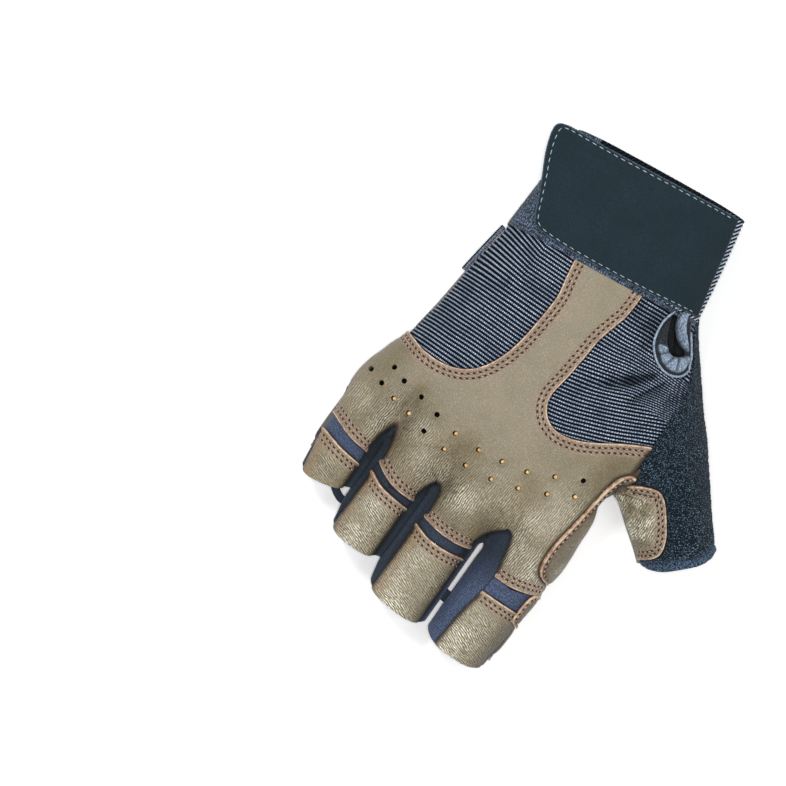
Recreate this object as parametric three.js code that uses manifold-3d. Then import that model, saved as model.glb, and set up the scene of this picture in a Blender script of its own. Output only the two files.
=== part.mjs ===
// Half-finger fitness glove for the right hand, lying palm down with its back up.
// Units are millimetres. X runs to the thumb side, Y from the fingertips to the wrist,
// and Z from the surface that the palm lies on up to the back of the hand.
//
// The glove is a hollow shell made in layers. A hand form (palm, four fingers and thumb,
// each lofted through a short table of sections) is grown or shrunk by an offset. The
// difference of two offsets is a layer of leather or cloth, and each panel is the part of
// its layer that lies inside the panel's outline.
import * as THREE from "three";
import { mergeVertices } from "three/addons/utils/BufferGeometryUtils.js";
import Module from "manifold-3d";

const wasm = await Module();
wasm.setup();

// Driving dimensions
const CENTRE = { x: 9.15, y: -6.93 }; // centre of the glove's outline, moved to the origin
const FLOOR_TO_FORM = 1.6; // height of the hand form above the surface it lies on
const PANEL_GAP = 0.35; // clearance between neighbouring panels
const HIDDEN_BELOW = -0.5; // offsets below this are the inside of the shell
const SEAM_HEIGHT = 12; // height of the side seam between back and palm
const TALL = 60; // higher than anything on the glove
const REACH = 160; // further out than anything on the glove
const CUFF = { x: -12, y: 46.5, turn: THREE.MathUtils.degToRad(6), length: 43 };
const THUMB = { x: 0, y: 0, turn: THREE.MathUtils.degToRad(45) };
const THUMB_SEAM = 10; // height of the seam on the thumb's inner side
const RIB = { pitch: 2.9, depth: 0.7, from: -20, to: 54 }; // ribbed stretch cloth

// Layers, as offsets outwards from the hand form
const LAYER = {
  leather: { outer: 0, inner: -1.6 },
  cloth: { outer: -0.5, inner: -1.9 },
  terry: { outer: 0.4, inner: -1.7 },
  guard: { outer: 0.7, inner: -1.3 },
  overlay: { outer: FLOOR_TO_FORM, inner: -0.15 },
  padded: { outer: FLOOR_TO_FORM, inner: -1.6 },
  patch: { outer: 1.5, inner: 0.35 },
  binding: { outer: 2.2, inner: 0.25 },
};

// Sections of the hand form: a row for each section, with the two edges of its outline seen
// from above, the height of its crown, and how far the back drops from crown to edge
const table = (...rows) =>
  rows.map(([y, left, right, crown, arch]) => ({ y, left, right, crown, arch }));

const PALM_SECTIONS = table(
  [58, -50, 26, 34, 5],
  [46, -51.5, 31, 34.5, 5],
  [30, -54, 38.5, 34.5, 5.5],
  [15, -56, 42, 34, 6],
  [0, -57.5, 43, 33.5, 6],
  [-14, -60, 40.5, 33, 6],
  [-26, -63.2, 37.2, 32.5, 6],
  [-38, -64.8, 37.6, 31.5, 5.5],
  [-48, -66, 38.6, 29, 5],
  [-56, -66, 39, 24.5, 4],
  [-62, -64, 38, 17, 2],
);

const FINGERS = {
  little: {
    sections: table(
      [-30, -64, -43.5, 23.5, 2],
      [-46, -66, -43.9, 25.2, 2.5],
      [-58, -66.2, -43.9, 22.5, 2.5],
      [-70, -65.9, -43.5, 19, 2.5],
      [-81, -65, -43.3, 16.5, 2],
    ),
    tipSkew: 2.2,
  },
  ring: {
    sections: table(
      [-32, -41.5, -18.6, 27, 2],
      [-50, -42, -18.7, 27.8, 2.5],
      [-62, -41.9, -18.9, 24.5, 3],
      [-78, -42.6, -19, 21, 3],
      [-94.3, -42.8, -19.2, 18.2, 2.5],
    ),
    tipSkew: 0,
  },
  middle: {
    sections: table(
      [-32, -17.5, 8.5, 29, 2],
      [-52, -17.9, 8.8, 29, 2.5],
      [-66, -17.9, 8.8, 25.5, 3],
      [-84, -18.2, 9, 22, 3],
      [-105, -18.4, 9.2, 19, 2.5],
    ),
    tipSkew: -0.8,
  },
  index: {
    sections: table(
      [-32, 12, 38, 28, 2.5],
      [-52, 11.6, 38.8, 28.5, 3],
      [-66, 10.9, 39.2, 25.5, 4],
      [-84, 10.6, 38.7, 22, 4.5],
      [-107, 10.6, 37.4, 19, 4],
    ),
    tipSkew: 0,
  },
};

// The thumb's sections lie in the thumb's own frame, turned about Z
const THUMB_SECTIONS = table(
  [18, 24, 54.5, 28, 4],
  [0, 16, 54.6, 30, 4.5],
  [-20, 12, 53.3, 29.5, 5],
  [-34, 13, 52.4, 27.5, 5],
  [-44, 15.4, 51.4, 25.5, 4.5],
  [-56, 17.3, 50.2, 23.5, 4],
  [-66, 18.8, 49.3, 22, 3.5],
  [-75.5, 19.6, 48.3, 20.5, 3],
);

// The cuff's sections lie in the cuff's own frame, turned about Z
const CUFF_SECTIONS = table(
  [43, -33.8, 37.3, 34, 5],
  [20, -37.3, 39.2, 35, 5],
  [0, -40.2, 40.2, 35, 5],
);
// The strap's free end is wider than the cuff, so it stands off at the little finger's side
const STRAP_SECTIONS = table(
  [43, -50, 37.3, 34, 5],
  [20, -50, 39.2, 35, 5],
  [-4, -50, 40.2, 35, 5],
);

const FINGER_SHAPE = {
  topShare: 0.5,
  bottomShare: 0.34,
  top: 2,
  topArc: 3,
  bottomArc: 2,
  bottom: 1,
  tipSlant: 3,
  tipCurve: 2.6,
};
const THUMB_SHAPE = { ...FINGER_SHAPE, top: 3 };
const PALM_SHAPE = { topShare: 0.46, bottomShare: 0.34, top: 6, topArc: 3, bottomArc: 2, bottom: 2 };
const RIB_SHAPE = { ...PALM_SHAPE, top: 4, bottomArc: 1, bottom: 1 };
const CUFF_SHAPE = { ...PALM_SHAPE, top: 5 };

// The palm's front edge steps back towards the little finger, as the knuckles do
const KNUCKLE_STEP = { from: -18, to: -62, side: 12, reach: 76, back: 15 };

// Dents in the back: a row for each, as a trough with a centre, depth, length, width and turn
const DENTS = [
  { x: 17, y: 17, depth: 2.4, length: 17, width: 4.5, turn: 38 },
  { x: 27, y: 20, depth: 1.6, length: 11, width: 3.5, turn: 46 },
  { x: -43.6, y: -38, depth: 1.6, length: 9, width: 5, turn: 88 },
  { x: -17.5, y: -44, depth: 1.6, length: 9, width: 5.5, turn: 90 },
  { x: 13, y: -44, depth: 1.8, length: 9, width: 6, turn: 92 },
  { x: 42, y: -4, depth: 1.6, length: 12, width: 4, turn: 85 },
];

function dentDepth(x, y) {
  return DENTS.reduce((sum, d) => {
    const turn = THREE.MathUtils.degToRad(d.turn);
    const along = ((x - d.x) * Math.cos(turn) + (y - d.y) * Math.sin(turn)) / d.length;
    const across = (-(x - d.x) * Math.sin(turn) + (y - d.y) * Math.cos(turn)) / d.width;
    return sum + d.depth * Math.exp(-(along * along) - across * across);
  }, 0);
}

// One row of a table at any y, on a smooth curve through the rows
function sectionAt(rows, y) {
  const last = rows.length - 2;
  let i = rows.findIndex((row, k) => k > 0 && y >= row.y) - 1;
  if (i < 0) i = y > rows[0].y ? 0 : last;
  const [a, b] = [rows[i], rows[i + 1]];
  const before = rows[Math.max(i - 1, 0)];
  const after = rows[Math.min(i + 2, last + 1)];
  const span = b.y - a.y;
  const t = THREE.MathUtils.clamp((y - a.y) / span, 0, 1);
  const blend = (key) => {
    const slopeA = i > 0 ? (b[key] - before[key]) / (b.y - before.y) : (b[key] - a[key]) / span;
    const slopeB = i < last ? (after[key] - a[key]) / (after.y - a.y) : (b[key] - a[key]) / span;
    const t2 = t * t;
    const t3 = t2 * t;
    return (
      (2 * t3 - 3 * t2 + 1) * a[key] +
      (t3 - 2 * t2 + t) * span * slopeA +
      (3 * t2 - 2 * t3) * b[key] +
      (t3 - t2) * span * slopeB
    );
  };
  return { left: blend("left"), right: blend("right"), crown: blend("crown"), arch: blend("arch") };
}

// The outline of one section, as [x, z] points: a box with round corners and an arched top
function sectionPoints(row, shape, offset) {
  const height = row.crown - FLOOR_TO_FORM;
  const halfWidth = (row.right - row.left) / 2;
  const middle = (row.right + row.left) / 2;
  const topRadius = Math.min(shape.topShare * height, halfWidth * 0.96) + offset;
  const bottomRadius = Math.min(shape.bottomShare * height, halfWidth * 0.8) + offset;
  const reach = halfWidth + offset;
  const top = row.crown + offset;
  const bottom = FLOOR_TO_FORM - offset;
  const points = [];
  const arc = (cx, cz, radius, start, steps) => {
    for (let k = 0; k <= steps; k++) {
      const angle = start + (k / steps) * (Math.PI / 2);
      points.push([cx + radius * Math.cos(angle), cz + radius * Math.sin(angle)]);
    }
  };
  const line = (fromX, toX, z, steps) => {
    for (let k = 1; k < steps; k++) points.push([fromX + ((toX - fromX) * k) / steps, z]);
  };
  arc(reach - topRadius, top - topRadius, topRadius, 0, shape.topArc);
  line(reach - topRadius, topRadius - reach, top, shape.top);
  arc(topRadius - reach, top - topRadius, topRadius, Math.PI / 2, shape.topArc);
  arc(bottomRadius - reach, bottom + bottomRadius, bottomRadius, Math.PI, shape.bottomArc);
  line(bottomRadius - reach, reach - bottomRadius, bottom, shape.bottom);
  arc(reach - bottomRadius, bottom + bottomRadius, bottomRadius, Math.PI * 1.5, shape.bottomArc);
  return points.map(([x, z]) => {
    const drop = row.arch * Math.min((x / halfWidth) ** 2, 1.4);
    return [middle + x, FLOOR_TO_FORM + (z - FLOOR_TO_FORM) * (1 - drop / height)];
  });
}

// Closed meshes and solids
function closedMesh(rings) {
  const size = rings[0].length;
  const positions = rings.flat().flat();
  const faces = [];
  for (let r = 0; r + 1 < rings.length; r++)
    for (let k = 0; k < size; k++) {
      const [a, b] = [r * size + k, r * size + ((k + 1) % size)];
      faces.push(a, a + size, b, b, a + size, b + size);
    }
  const capCentre = (ring) => [0, 1, 2].map((i) => ring.reduce((s, p) => s + p[i], 0) / size);
  const first = rings.length * size;
  positions.push(...capCentre(rings[0]), ...capCentre(rings.at(-1)));
  const lastRing = (rings.length - 1) * size;
  for (let k = 0; k < size; k++) {
    const next = (k + 1) % size;
    faces.push(first, k, next, first + 1, lastRing + next, lastRing + k);
  }
  const geometry = new THREE.BufferGeometry();
  geometry.setAttribute("position", new THREE.Float32BufferAttribute(positions, 3));
  geometry.setIndex(faces);
  return geometry;
}

function solidOf(geometry) {
  const bare = geometry.clone();
  bare.deleteAttribute("normal");
  bare.deleteAttribute("uv");
  const merged = mergeVertices(bare, 1e-4);
  return new wasm.Manifold(
    new wasm.Mesh({
      numProp: 3,
      vertProperties: merged.attributes.position.array,
      triVerts: new Uint32Array(merged.index.array),
    }),
  );
}

function turned(point, frame) {
  const [x, y, z] = point;
  return [
    frame.x + x * Math.cos(frame.turn) - y * Math.sin(frame.turn),
    frame.y + x * Math.sin(frame.turn) + y * Math.cos(frame.turn),
    z,
  ];
}

const HAND_FRAME = { x: 0, y: 0, turn: 0 };

function loft(rows, stations, shape, offset, frame = HAND_FRAME, bend = (p) => p) {
  const fromTip = [...stations].sort((a, b) => a.y - b.y);
  const rings = fromTip.map(({ y, extra = 0 }) => {
    const row = sectionAt(rows, y);
    return sectionPoints(row, shape, offset + extra).map(([x, z]) =>
      turned(bend([x, y, z], row), frame),
    );
  });
  return solidOf(closedMesh(rings));
}

// The last table row is a fingertip: its rim curves back at the sides and slants to the palm
const FINGER_STEPS = 4;

function fingerStations(rows, past) {
  const base = rows[0].y;
  const tip = rows.at(-1).y;
  const stations = past > 0 ? [{ y: tip - past }] : [];
  for (let k = 0; k <= FINGER_STEPS; k++)
    stations.push({ y: base + ((tip - base) * k) / FINGER_STEPS });
  return stations;
}

function tipBend(rows, skew) {
  const base = rows[0].y;
  const tip = rows.at(-1).y;
  return ([x, y, z], row) => {
    const near = THREE.MathUtils.clamp((base - y) / (base - tip), 0, 1) ** 4;
    const side = (x - (row.left + row.right) / 2) / ((row.right - row.left) / 2);
    const low = 1 - THREE.MathUtils.clamp((z - FLOOR_TO_FORM) / (row.crown - FLOOR_TO_FORM), 0, 1);
    const back =
      FINGER_SHAPE.tipCurve * Math.abs(side) ** 4 + FINGER_SHAPE.tipSlant * low + skew * side;
    return [x, y + near * back, z];
  };
}

function palmBend(offset) {
  const { from, to, side, reach, back } = KNUCKLE_STEP;
  return ([x, y, z]) => {
    const forward = THREE.MathUtils.clamp((from - y) / (from - to), 0, 1);
    const across = THREE.MathUtils.clamp((side - x) / reach, 0, 1);
    const onBack = THREE.MathUtils.clamp((z - SEAM_HEIGHT) / SEAM_HEIGHT, 0, 1);
    const move = back * across ** 1.4 - offset;
    return [x, y + move * forward, z - onBack * dentDepth(x, y)];
  };
}

const PALM_STATIONS = [58, 42, 30, 19, 8, -8, -24, -38, -50, -58, -62].map((y) => ({ y }));

// Surfaces that show have finer facets than the inside of the shell
const OUTSIDE = { stations: PALM_STATIONS, palm: PALM_SHAPE, finger: FINGER_SHAPE };
const INSIDE = {
  stations: PALM_STATIONS.filter((station, i) => i % 2 === 0 || station.y < -50),
  palm: { ...PALM_SHAPE, top: 3, topArc: 2, bottomArc: 1, bottom: 1 },
  finger: { ...FINGER_SHAPE, topArc: 2, bottomArc: 1 },
};
const INSIDE_RIBS = { ...INSIDE, stations: PALM_STATIONS, palm: RIB_SHAPE };

const palmLoft = (stations, shape, offset) =>
  loft(PALM_SECTIONS, stations, shape, offset, HAND_FRAME, palmBend(offset));

function ribStations() {
  const stations = [];
  for (let k = 0; RIB.from + k * RIB.pitch <= RIB.to; k++) {
    const y = RIB.from + k * RIB.pitch;
    stations.push({ y, extra: -RIB.depth }, { y: y + RIB.pitch / 2, extra: 0 });
  }
  return stations;
}

const thumbLoft = (offset, past) =>
  loft(
    THUMB_SECTIONS,
    fingerStations(THUMB_SECTIONS, past),
    THUMB_SHAPE,
    offset,
    THUMB,
    tipBend(THUMB_SECTIONS, 0),
  );

// The hand form grown by an offset; past lengthens its open ends, so that it cuts them open
function handForm(offset, past = 0, detail = OUTSIDE) {
  const parts = [
    palmLoft(detail.stations, detail.palm, offset),
    thumbLoft(offset, past),
    ...Object.values(FINGERS).map(({ sections, tipSkew }) =>
      loft(
        sections,
        fingerStations(sections, past),
        detail.finger,
        offset,
        HAND_FRAME,
        tipBend(sections, tipSkew),
      ),
    ),
  ];
  return parts.reduce((sum, part) => sum.add(part));
}

// Outlines are seen from above. Each is a list of edges, and an edge through three or more
// points is a smooth curve.
const CURVE_STEPS = 3;
const CURVE_TOLERANCE = 0.4;

// Only the points of a curve that it bends at by more than the tolerance
function thinned(points) {
  const [first, last] = [points[0], points.at(-1)];
  const chord = last.clone().sub(first);
  const off = points.map((p) => Math.abs(p.clone().sub(first).cross(chord)) / (chord.length() || 1));
  const furthest = off.indexOf(Math.max(...off));
  if (points.length < 3 || off[furthest] < CURVE_TOLERANCE) return [first, last];
  return [...thinned(points.slice(0, furthest + 1)), ...thinned(points.slice(furthest)).slice(1)];
}

function smoothed(corners) {
  const steps = (corners.length - 1) * CURVE_STEPS;
  const drawn = new THREE.SplineCurve(corners).getPoints(steps);
  const half = Math.floor(steps / 2);
  return [...thinned(drawn.slice(0, half + 1)), ...thinned(drawn.slice(half)).slice(1)];
}

function outline(...edges) {
  const points = [];
  edges.forEach((edge) => {
    const corners = edge.map(([x, y]) => new THREE.Vector2(x, y));
    const drawn = corners.length > 2 ? smoothed(corners) : corners;
    drawn.forEach((p) => {
      const last = points.at(-1);
      if (!last || last.distanceTo(p) > 0.05) points.push(p);
    });
  });
  if (points[0].distanceTo(points.at(-1)) < 0.05) points.pop();
  return THREE.ShapeUtils.isClockWise(points) ? points.reverse() : points;
}

// An outline moved outwards by a distance, corner by corner
function grown(points, by) {
  return points.map((p, i) => {
    const before = points.at(i - 1);
    const after = points[(i + 1) % points.length];
    const into = p.clone().sub(before).normalize();
    const out = after.clone().sub(p).normalize();
    const normal = new THREE.Vector2(into.y + out.y, -into.x - out.x).normalize();
    const sharpness = Math.max(normal.dot(new THREE.Vector2(into.y, -into.x)), 0.5);
    return p.clone().addScaledVector(normal, by / sharpness);
  });
}

function prism(points, low = -TALL, high = TALL, frame = HAND_FRAME) {
  const geometry = new THREE.ExtrudeGeometry(new THREE.Shape(points), {
    depth: high - low,
    bevelEnabled: false,
  });
  geometry.rotateZ(frame.turn);
  geometry.translate(frame.x, frame.y, low);
  return solidOf(geometry);
}

function rectangle(left, right, front, back) {
  return [
    new THREE.Vector2(left, front),
    new THREE.Vector2(right, front),
    new THREE.Vector2(right, back),
    new THREE.Vector2(left, back),
  ];
}

// Outlines of the back of the glove
const SPINE_OUTER_EDGE = [
  [-25, 56], [-24, 45], [-22.6, 36], [-21.2, 28], [-21.8, 17], [-22.9, 7], [-25.2, -2],
  [-29.4, -10], [-35, -14.9], [-42, -17.3], [-50, -17.5], [-57, -15.7], [-70, -11],
];
const SPINE_INNER_EDGE = [
  [41.2, 2], [36, -0.6], [30, -4], [22, -9.2], [15, -12.6], [8, -13.8], [2.6, -12],
  [-0.8, -8], [-1.9, -3], [-0.8, 5], [0.2, 15], [1, 24], [3, 32], [4.5, 39], [4.8, 56],
];
const NOTCH = {
  little_ring: [
    [-46.8, -61.5], [-46.2, -55], [-44.9, -49.6], [-43.6, -47], [-42.2, -50], [-41, -56],
    [-40.6, -61.8],
  ],
  ring_middle: [
    [-21.5, -66.8], [-20.6, -61.5], [-19, -57.8], [-17.2, -56.4], [-15.6, -58], [-14.8, -62],
    [-14.4, -69],
  ],
  middle_index: [
    [6.8, -69.2], [7.6, -64.5], [10, -60.2], [13, -57], [15.6, -56], [17, -58], [18.4, -63],
    [20.3, -72.3],
  ],
};
const KNUCKLE_EDGE = {
  little: [[-72, -55.5], [-65, -56.7], [-56, -60], [-46.8, -61.5]],
  ring: [[-40.6, -61.8], [-35, -65], [-29, -66.6], [-21.5, -66.8]],
  middle: [[-14.4, -69], [-8, -70.3], [0, -70.5], [6.8, -69.2]],
  index: [[20.3, -72.3], [27, -72.2], [33, -70.9], [43, -67.5]],
};
const BACK_PANEL = outline(
  SPINE_OUTER_EDGE,
  [[-70, -11], [-72, -55.5]],
  KNUCKLE_EDGE.little,
  NOTCH.little_ring,
  KNUCKLE_EDGE.ring,
  NOTCH.ring_middle,
  KNUCKLE_EDGE.middle,
  NOTCH.middle_index,
  KNUCKLE_EDGE.index,
  [[43, -67.5], [43, -11], [41.2, -11]],
  SPINE_INNER_EDGE,
);
const THUMB_ROOT_EDGE = [[25, 60], [31, 46], [35.8, 38.5], [39.5, 30], [41.2, 20]];
const THUMB_BACK = outline(
  THUMB_ROOT_EDGE,
  [[41.2, 20], [41.2, -11], [38.8, -18.4], [38, -26], [66, -70], [REACH, -20], [60, 90]],
);
const RIB_OUTER = rectangle(-80, -12, -24, 70);
const RIB_INNER = outline(THUMB_ROOT_EDGE, [[41.2, 20], [41.2, -24], [-10, -24], [-10, 70]]);
const THUMB_PATCH = outline(
  [
    [42.8, -14.6], [47, -12.2], [52.6, -10.2], [56.6, -11.8], [61, -16.6], [65.4, -22.8],
    [67.3, -28.4], [66, -32.4], [61, -36.5],
  ],
  [[61, -36.5], [58, -44], [34, -26], [39.6, -18.9]],
);
const WEB_GUARD = outline(
  [
    [43.6, -11.2], [40.8, -11.4], [38.2, -15], [36.3, -22], [35, -31], [33.6, -40],
    [32.2, -50], [32.5, -58], [34.4, -62], [38, -63.5],
  ],
  [[38, -63.5], [46, -63.5], [46, -36], [39.4, -18.9], [42.6, -14.9]],
);
const INDEX_SIDE_PATCH = outline(
  [[42, -68.8], [37.2, -69.6], [35.8, -73], [35.3, -79], [36, -83], [42, -85]],
);

// The finger pieces of the back: a strip of stretch cloth, then a leather cap to the tip
const STRIP_EDGE = {
  little: [[-72, -62.5], [-65, -63.6], [-56, -65.8], [-46.4, -67]],
  ring: [[-41.2, -66], [-35, -68.9], [-29, -70], [-21.6, -70.6]],
  middle: [[-15.6, -73], [-9, -75], [-1, -75.2], [7.2, -74]],
  index: [[19.8, -79.6], [27, -79.6], [33, -79.4], [43, -79.2]],
};
const CAP_SIDES = {
  little: { left: [[-72, -95], [-72, -63]], right: [[-46.4, -67], [-46, -72], [-45.6, -95]] },
  ring: { left: [[-41.9, -110], [-41.4, -80], [-41.2, -66]], right: [[-21.6, -70.6], [-21.8, -110]] },
  middle: {
    left: [[-15.6, -118], [-15.8, -95], [-15.6, -73]],
    right: [[7.2, -74], [7.6, -95], [7.2, -118]],
  },
  index: { left: [[15.6, -118], [17.4, -92], [19.8, -79.6]], right: [[43, -79.2], [43, -118]] },
};

function stripOutline(finger) {
  const top = KNUCKLE_EDGE[finger];
  const bottom = [...STRIP_EDGE[finger]].reverse();
  return outline(top, [top.at(-1), bottom[0]], bottom, [bottom.at(-1), top[0]]);
}

function capOutline(finger) {
  const { left, right } = CAP_SIDES[finger];
  const top = STRIP_EDGE[finger];
  return outline(top, right, [right.at(-1), left[0]], left);
}

// Outlines of the palm, seen from above through the glove
const THENAR_PAD = outline(
  [
    [4, 56], [2.2, 36], [-0.8, 24], [-1.3, 14], [0.8, 6], [5, -2], [11.3, -9], [20.7, -15],
    [29, -18.2], [35, -19.4],
  ],
  [[35, -19.4], [36, -26], [62, -50], [REACH, -50], [REACH, -30], [84, -20]],
  [[84, -20], [75, -9.8], [66, -1.5], [58, 8], [47, 17.5], [33.5, 31], [20, 56]],
);
const HEEL_PAD = outline(
  [
    [-28, 56], [-29.2, 36], [-27.4, 27], [-27.2, 17], [-28.6, 10], [-32.4, 5.2], [-40, 0.8],
    [-47.5, -5], [-55, -13], [-59.2, -16.5],
  ],
  [[-59.2, -16.5], [-57.9, -4], [-56.6, 15], [-54.6, 30], [-52.6, 56]],
);
const PAD_SEAM = [[-54.6, -34.3], [-36.8, -36.7], [-16, -40.2], [19.5, -45]];
const KNUCKLE_PAD = outline(
  [
    [-54.6, -34.3], [-56, -28], [-54.6, -21.5], [-51.4, -18.2], [-46.6, -20.4], [-41, -25.8],
    [-35, -25.6], [-28.4, -23.2], [-22, -25.6], [-15, -29], [-8, -28], [-1.2, -25.6],
    [6, -27.6], [14, -28.6], [25, -26], [30, -28.4], [31.2, -35], [29.6, -40.2], [19.5, -45],
  ],
  [...PAD_SEAM].reverse(),
);
const FINGER_BASE_LEATHER = outline(
  PAD_SEAM.map(([x, y]) => [x, y - 0.45]),
  [[19.5, -45.4], [30, -43.4], [33, -47], [33, -52], [36, -64], [38.9, -64], [38.9, -77]],
  [[38.9, -77], [30, -77.2], [22, -75.5], [19.8, -70], [19.4, -64], [22.4, -58], [19.5, -54.2],
   [12.5, -53.2], [5.5, -54.6], [3.8, -58.5], [5.6, -64], [6, -70], [5, -75.6], [-3.5, -77.4],
   [-11.2, -76], [-12.6, -70], [-11.6, -63], [-9.4, -58.6], [-11.6, -55], [-17, -54],
   [-22.4, -55.2], [-24.3, -59.5], [-22.6, -66], [-23.4, -71.6], [-30, -73.4], [-36.6, -72.4],
   [-38, -66], [-37, -58], [-34.4, -52], [-36.4, -47.4], [-41.8, -45], [-47.2, -47.2],
   [-48.6, -52.4], [-46.6, -58], [-46.4, -65], [-49, -70], [-56, -71.8], [-65.4, -72]],
  [[-65.4, -72], [-66.6, -52], [-64, -35.6], [-55, -34.7]],
);
const FINGER_PATCHES = {
  index: outline(
    [[38.6, -80.5], [30, -80], [22, -80.8], [19.8, -86], [20, -95], [23, -99.6], [32, -100.6],
     [37.8, -100.4]],
  ),
  middle: outline(
    [[-4, -80.6], [-11, -81.6], [-13.6, -86], [-13.8, -96], [-11.5, -101], [-4, -102.2],
     [3, -101], [5.4, -96], [5.4, -86], [3, -81.6], [-4, -80.6]],
  ),
  ring: outline(
    [[-30.6, -75.2], [-36.6, -76], [-38.8, -80], [-38.6, -86], [-36, -89.6], [-30.6, -90.4],
     [-25.4, -89.6], [-22.8, -86], [-22.6, -80], [-25, -76], [-30.6, -75.2]],
  ),
};

// The bound keyhole vent beside the strap
const VENT_OUTER = outline(
  [[21.5, 60], [18.6, 50], [17, 43], [18.6, 35], [23.6, 29.8], [29.4, 28.2], [34.4, 30.4],
   [35.6, 35.4], [32, 41.6], [26.5, 49.5], [24, 60]],
);
const VENT_HOLE = outline(
  [[21.3, 49.5], [21.2, 44], [22.6, 39], [26, 36.2], [30, 36.4], [31.4, 38.6], [28, 42.6],
   [24, 47.6], [21.3, 49.5]],
);

// The wrist strap, its free end to the left
const WRIST_STRAP = outline(
  [[-46.5, 50], [-51, 61], [-55.5, 71], [-57.8, 79], [-57.2, 82.4], [-53.6, 83.7]],
  [[-53.6, 83.7], [-35, 85.2], [-10, 88.2], [17, 91.6]],
  [[17, 91.6], [21.6, 70], [25.4, 52.2]],
  [[25.4, 52.2], [5, 48.7], [-18, 45.8], [-34, 44.7], [-43, 45.4], [-46.5, 50]],
);
const PULL_TAB = outline(
  [[-28, 44.2], [-26, 62], [-23.6, 79.5], [-22, 84.6], [-17.4, 87.6], [-8, 88.4], [-1.6, 87.6],
   [1, 83.6], [2.2, 76], [2.6, 60], [2.4, 44.8]],
  [[2.4, 44.8], [-12, 43.4], [-28, 44.2]],
);
const CUFF_JOIN = { outer: -24.8, inner: -13 }; // where knit and twill meet under the tab and strap

// Air holes: rows that follow a smooth curve over the knuckles, and single holes in the palm
const AIR_HOLE = { radius: 0.65, sides: 6 };
const KNUCKLE_HOLE_ROWS = [
  { count: 11, through: [[-62, -26.5], [-33, -34.3], [-12.5, -36.2], [7.5, -32.5], [27, -23.2]] },
  { count: 11, through: [[-63, -34.5], [-33.5, -42.3], [-13, -43.8], [8, -39.5], [28, -30]] },
];
const PALM_HOLES = [
  [-18.5, 34], [-2.6, 34], [-17.4, 24], [-4.9, 24.5], [-17.9, 14], [-6.4, 14], [-22.6, 4],
  [-4.4, 3], [-32.6, -3], [1.4, -7], [-40.9, -9], [8.2, -15], [-49.3, -14],
];

function airHoles(places, low, high) {
  return places.reduce((sum, [x, y]) => {
    const { radius, sides } = AIR_HOLE;
    const drill = new THREE.CylinderGeometry(radius, radius, high - low, sides);
    drill.rotateX(Math.PI / 2);
    drill.translate(x, y, (low + high) / 2);
    const solid = solidOf(drill);
    return sum ? sum.add(solid) : solid;
  }, null);
}

function knuckleHoles() {
  const places = KNUCKLE_HOLE_ROWS.flatMap(({ count, through }) =>
    new THREE.SplineCurve(through.map(([x, y]) => new THREE.Vector2(x, y)))
      .getSpacedPoints(count - 1)
      .map((p) => [p.x, p.y]),
  );
  return airHoles(places, SEAM_HEIGHT, TALL);
}

// Assembly of the panels
const onBack = (points) => prism(points, SEAM_HEIGHT + PANEL_GAP / 2, TALL);
const onPalm = (points) => prism(points, -TALL, SEAM_HEIGHT - PANEL_GAP / 2);
const wideRectangle = rectangle(-REACH, REACH, -REACH, REACH);
const belowCuff = prism(rectangle(-REACH, REACH, -REACH, -PANEL_GAP), -TALL, TALL, CUFF);
const onlyLargest = (solid) =>
  solid.decompose().reduce((best, body) => (body.volume() > best.volume() ? body : best));

const PAST_MOUTH = 8;
const insideForm = (offset) =>
  handForm(offset, PAST_MOUTH, offset > HIDDEN_BELOW ? OUTSIDE : INSIDE);

const layerCache = {};
function layer(name) {
  const { outer, inner } = LAYER[name];
  layerCache[name] ??= handForm(outer).subtract(insideForm(inner)).intersect(belowCuff);
  return layerCache[name];
}

function ribbedLayer() {
  const { outer, inner } = LAYER.cloth;
  const ribs = palmLoft(ribStations(), RIB_SHAPE, outer).add(thumbLoft(outer, 0));
  return ribs.subtract(handForm(inner, PAST_MOUTH, INSIDE_RIBS)).intersect(belowCuff);
}

const cutters = {
  back: onBack(grown(BACK_PANEL, PANEL_GAP)),
  guard: prism(grown(WEB_GUARD, PANEL_GAP)),
  thumbPatch: prism(grown(THUMB_PATCH, PANEL_GAP), THUMB_SEAM - PANEL_GAP / 2, TALL),
  thenar: prism(grown(THENAR_PAD, PANEL_GAP), -TALL, THUMB_SEAM + PANEL_GAP / 2),
  thumbRoot: prism(grown(THUMB_BACK, PANEL_GAP)),
};

const solids = {};

function buildBack() {
  solids.back_panel = layer("leather")
    .intersect(onBack(BACK_PANEL))
    .subtract(cutters.guard)
    .subtract(knuckleHoles());
  const ribs = ribbedLayer().subtract(cutters.back);
  solids.rib_panel_outer = ribs.intersect(onBack(RIB_OUTER));
  solids.rib_panel_inner = ribs
    .intersect(onBack(RIB_INNER))
    .subtract(cutters.thumbRoot)
    .subtract(cutters.thumbPatch)
    .subtract(cutters.guard)
    .subtract(prism(VENT_HOLE));
  solids.vent_binding = layer("binding")
    .intersect(onBack(VENT_OUTER))
    .subtract(prism(VENT_HOLE));
  Object.keys(FINGERS).forEach((finger) => {
    const strip = onBack(stripOutline(finger));
    const cap = onBack(capOutline(finger));
    solids["strip_" + finger] = layer("cloth")
      .intersect(strip)
      .subtract(cutters.back)
      .subtract(onBack(grown(capOutline(finger), PANEL_GAP)));
    solids["cap_" + finger] = layer("leather").intersect(cap);
  });
}

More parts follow.
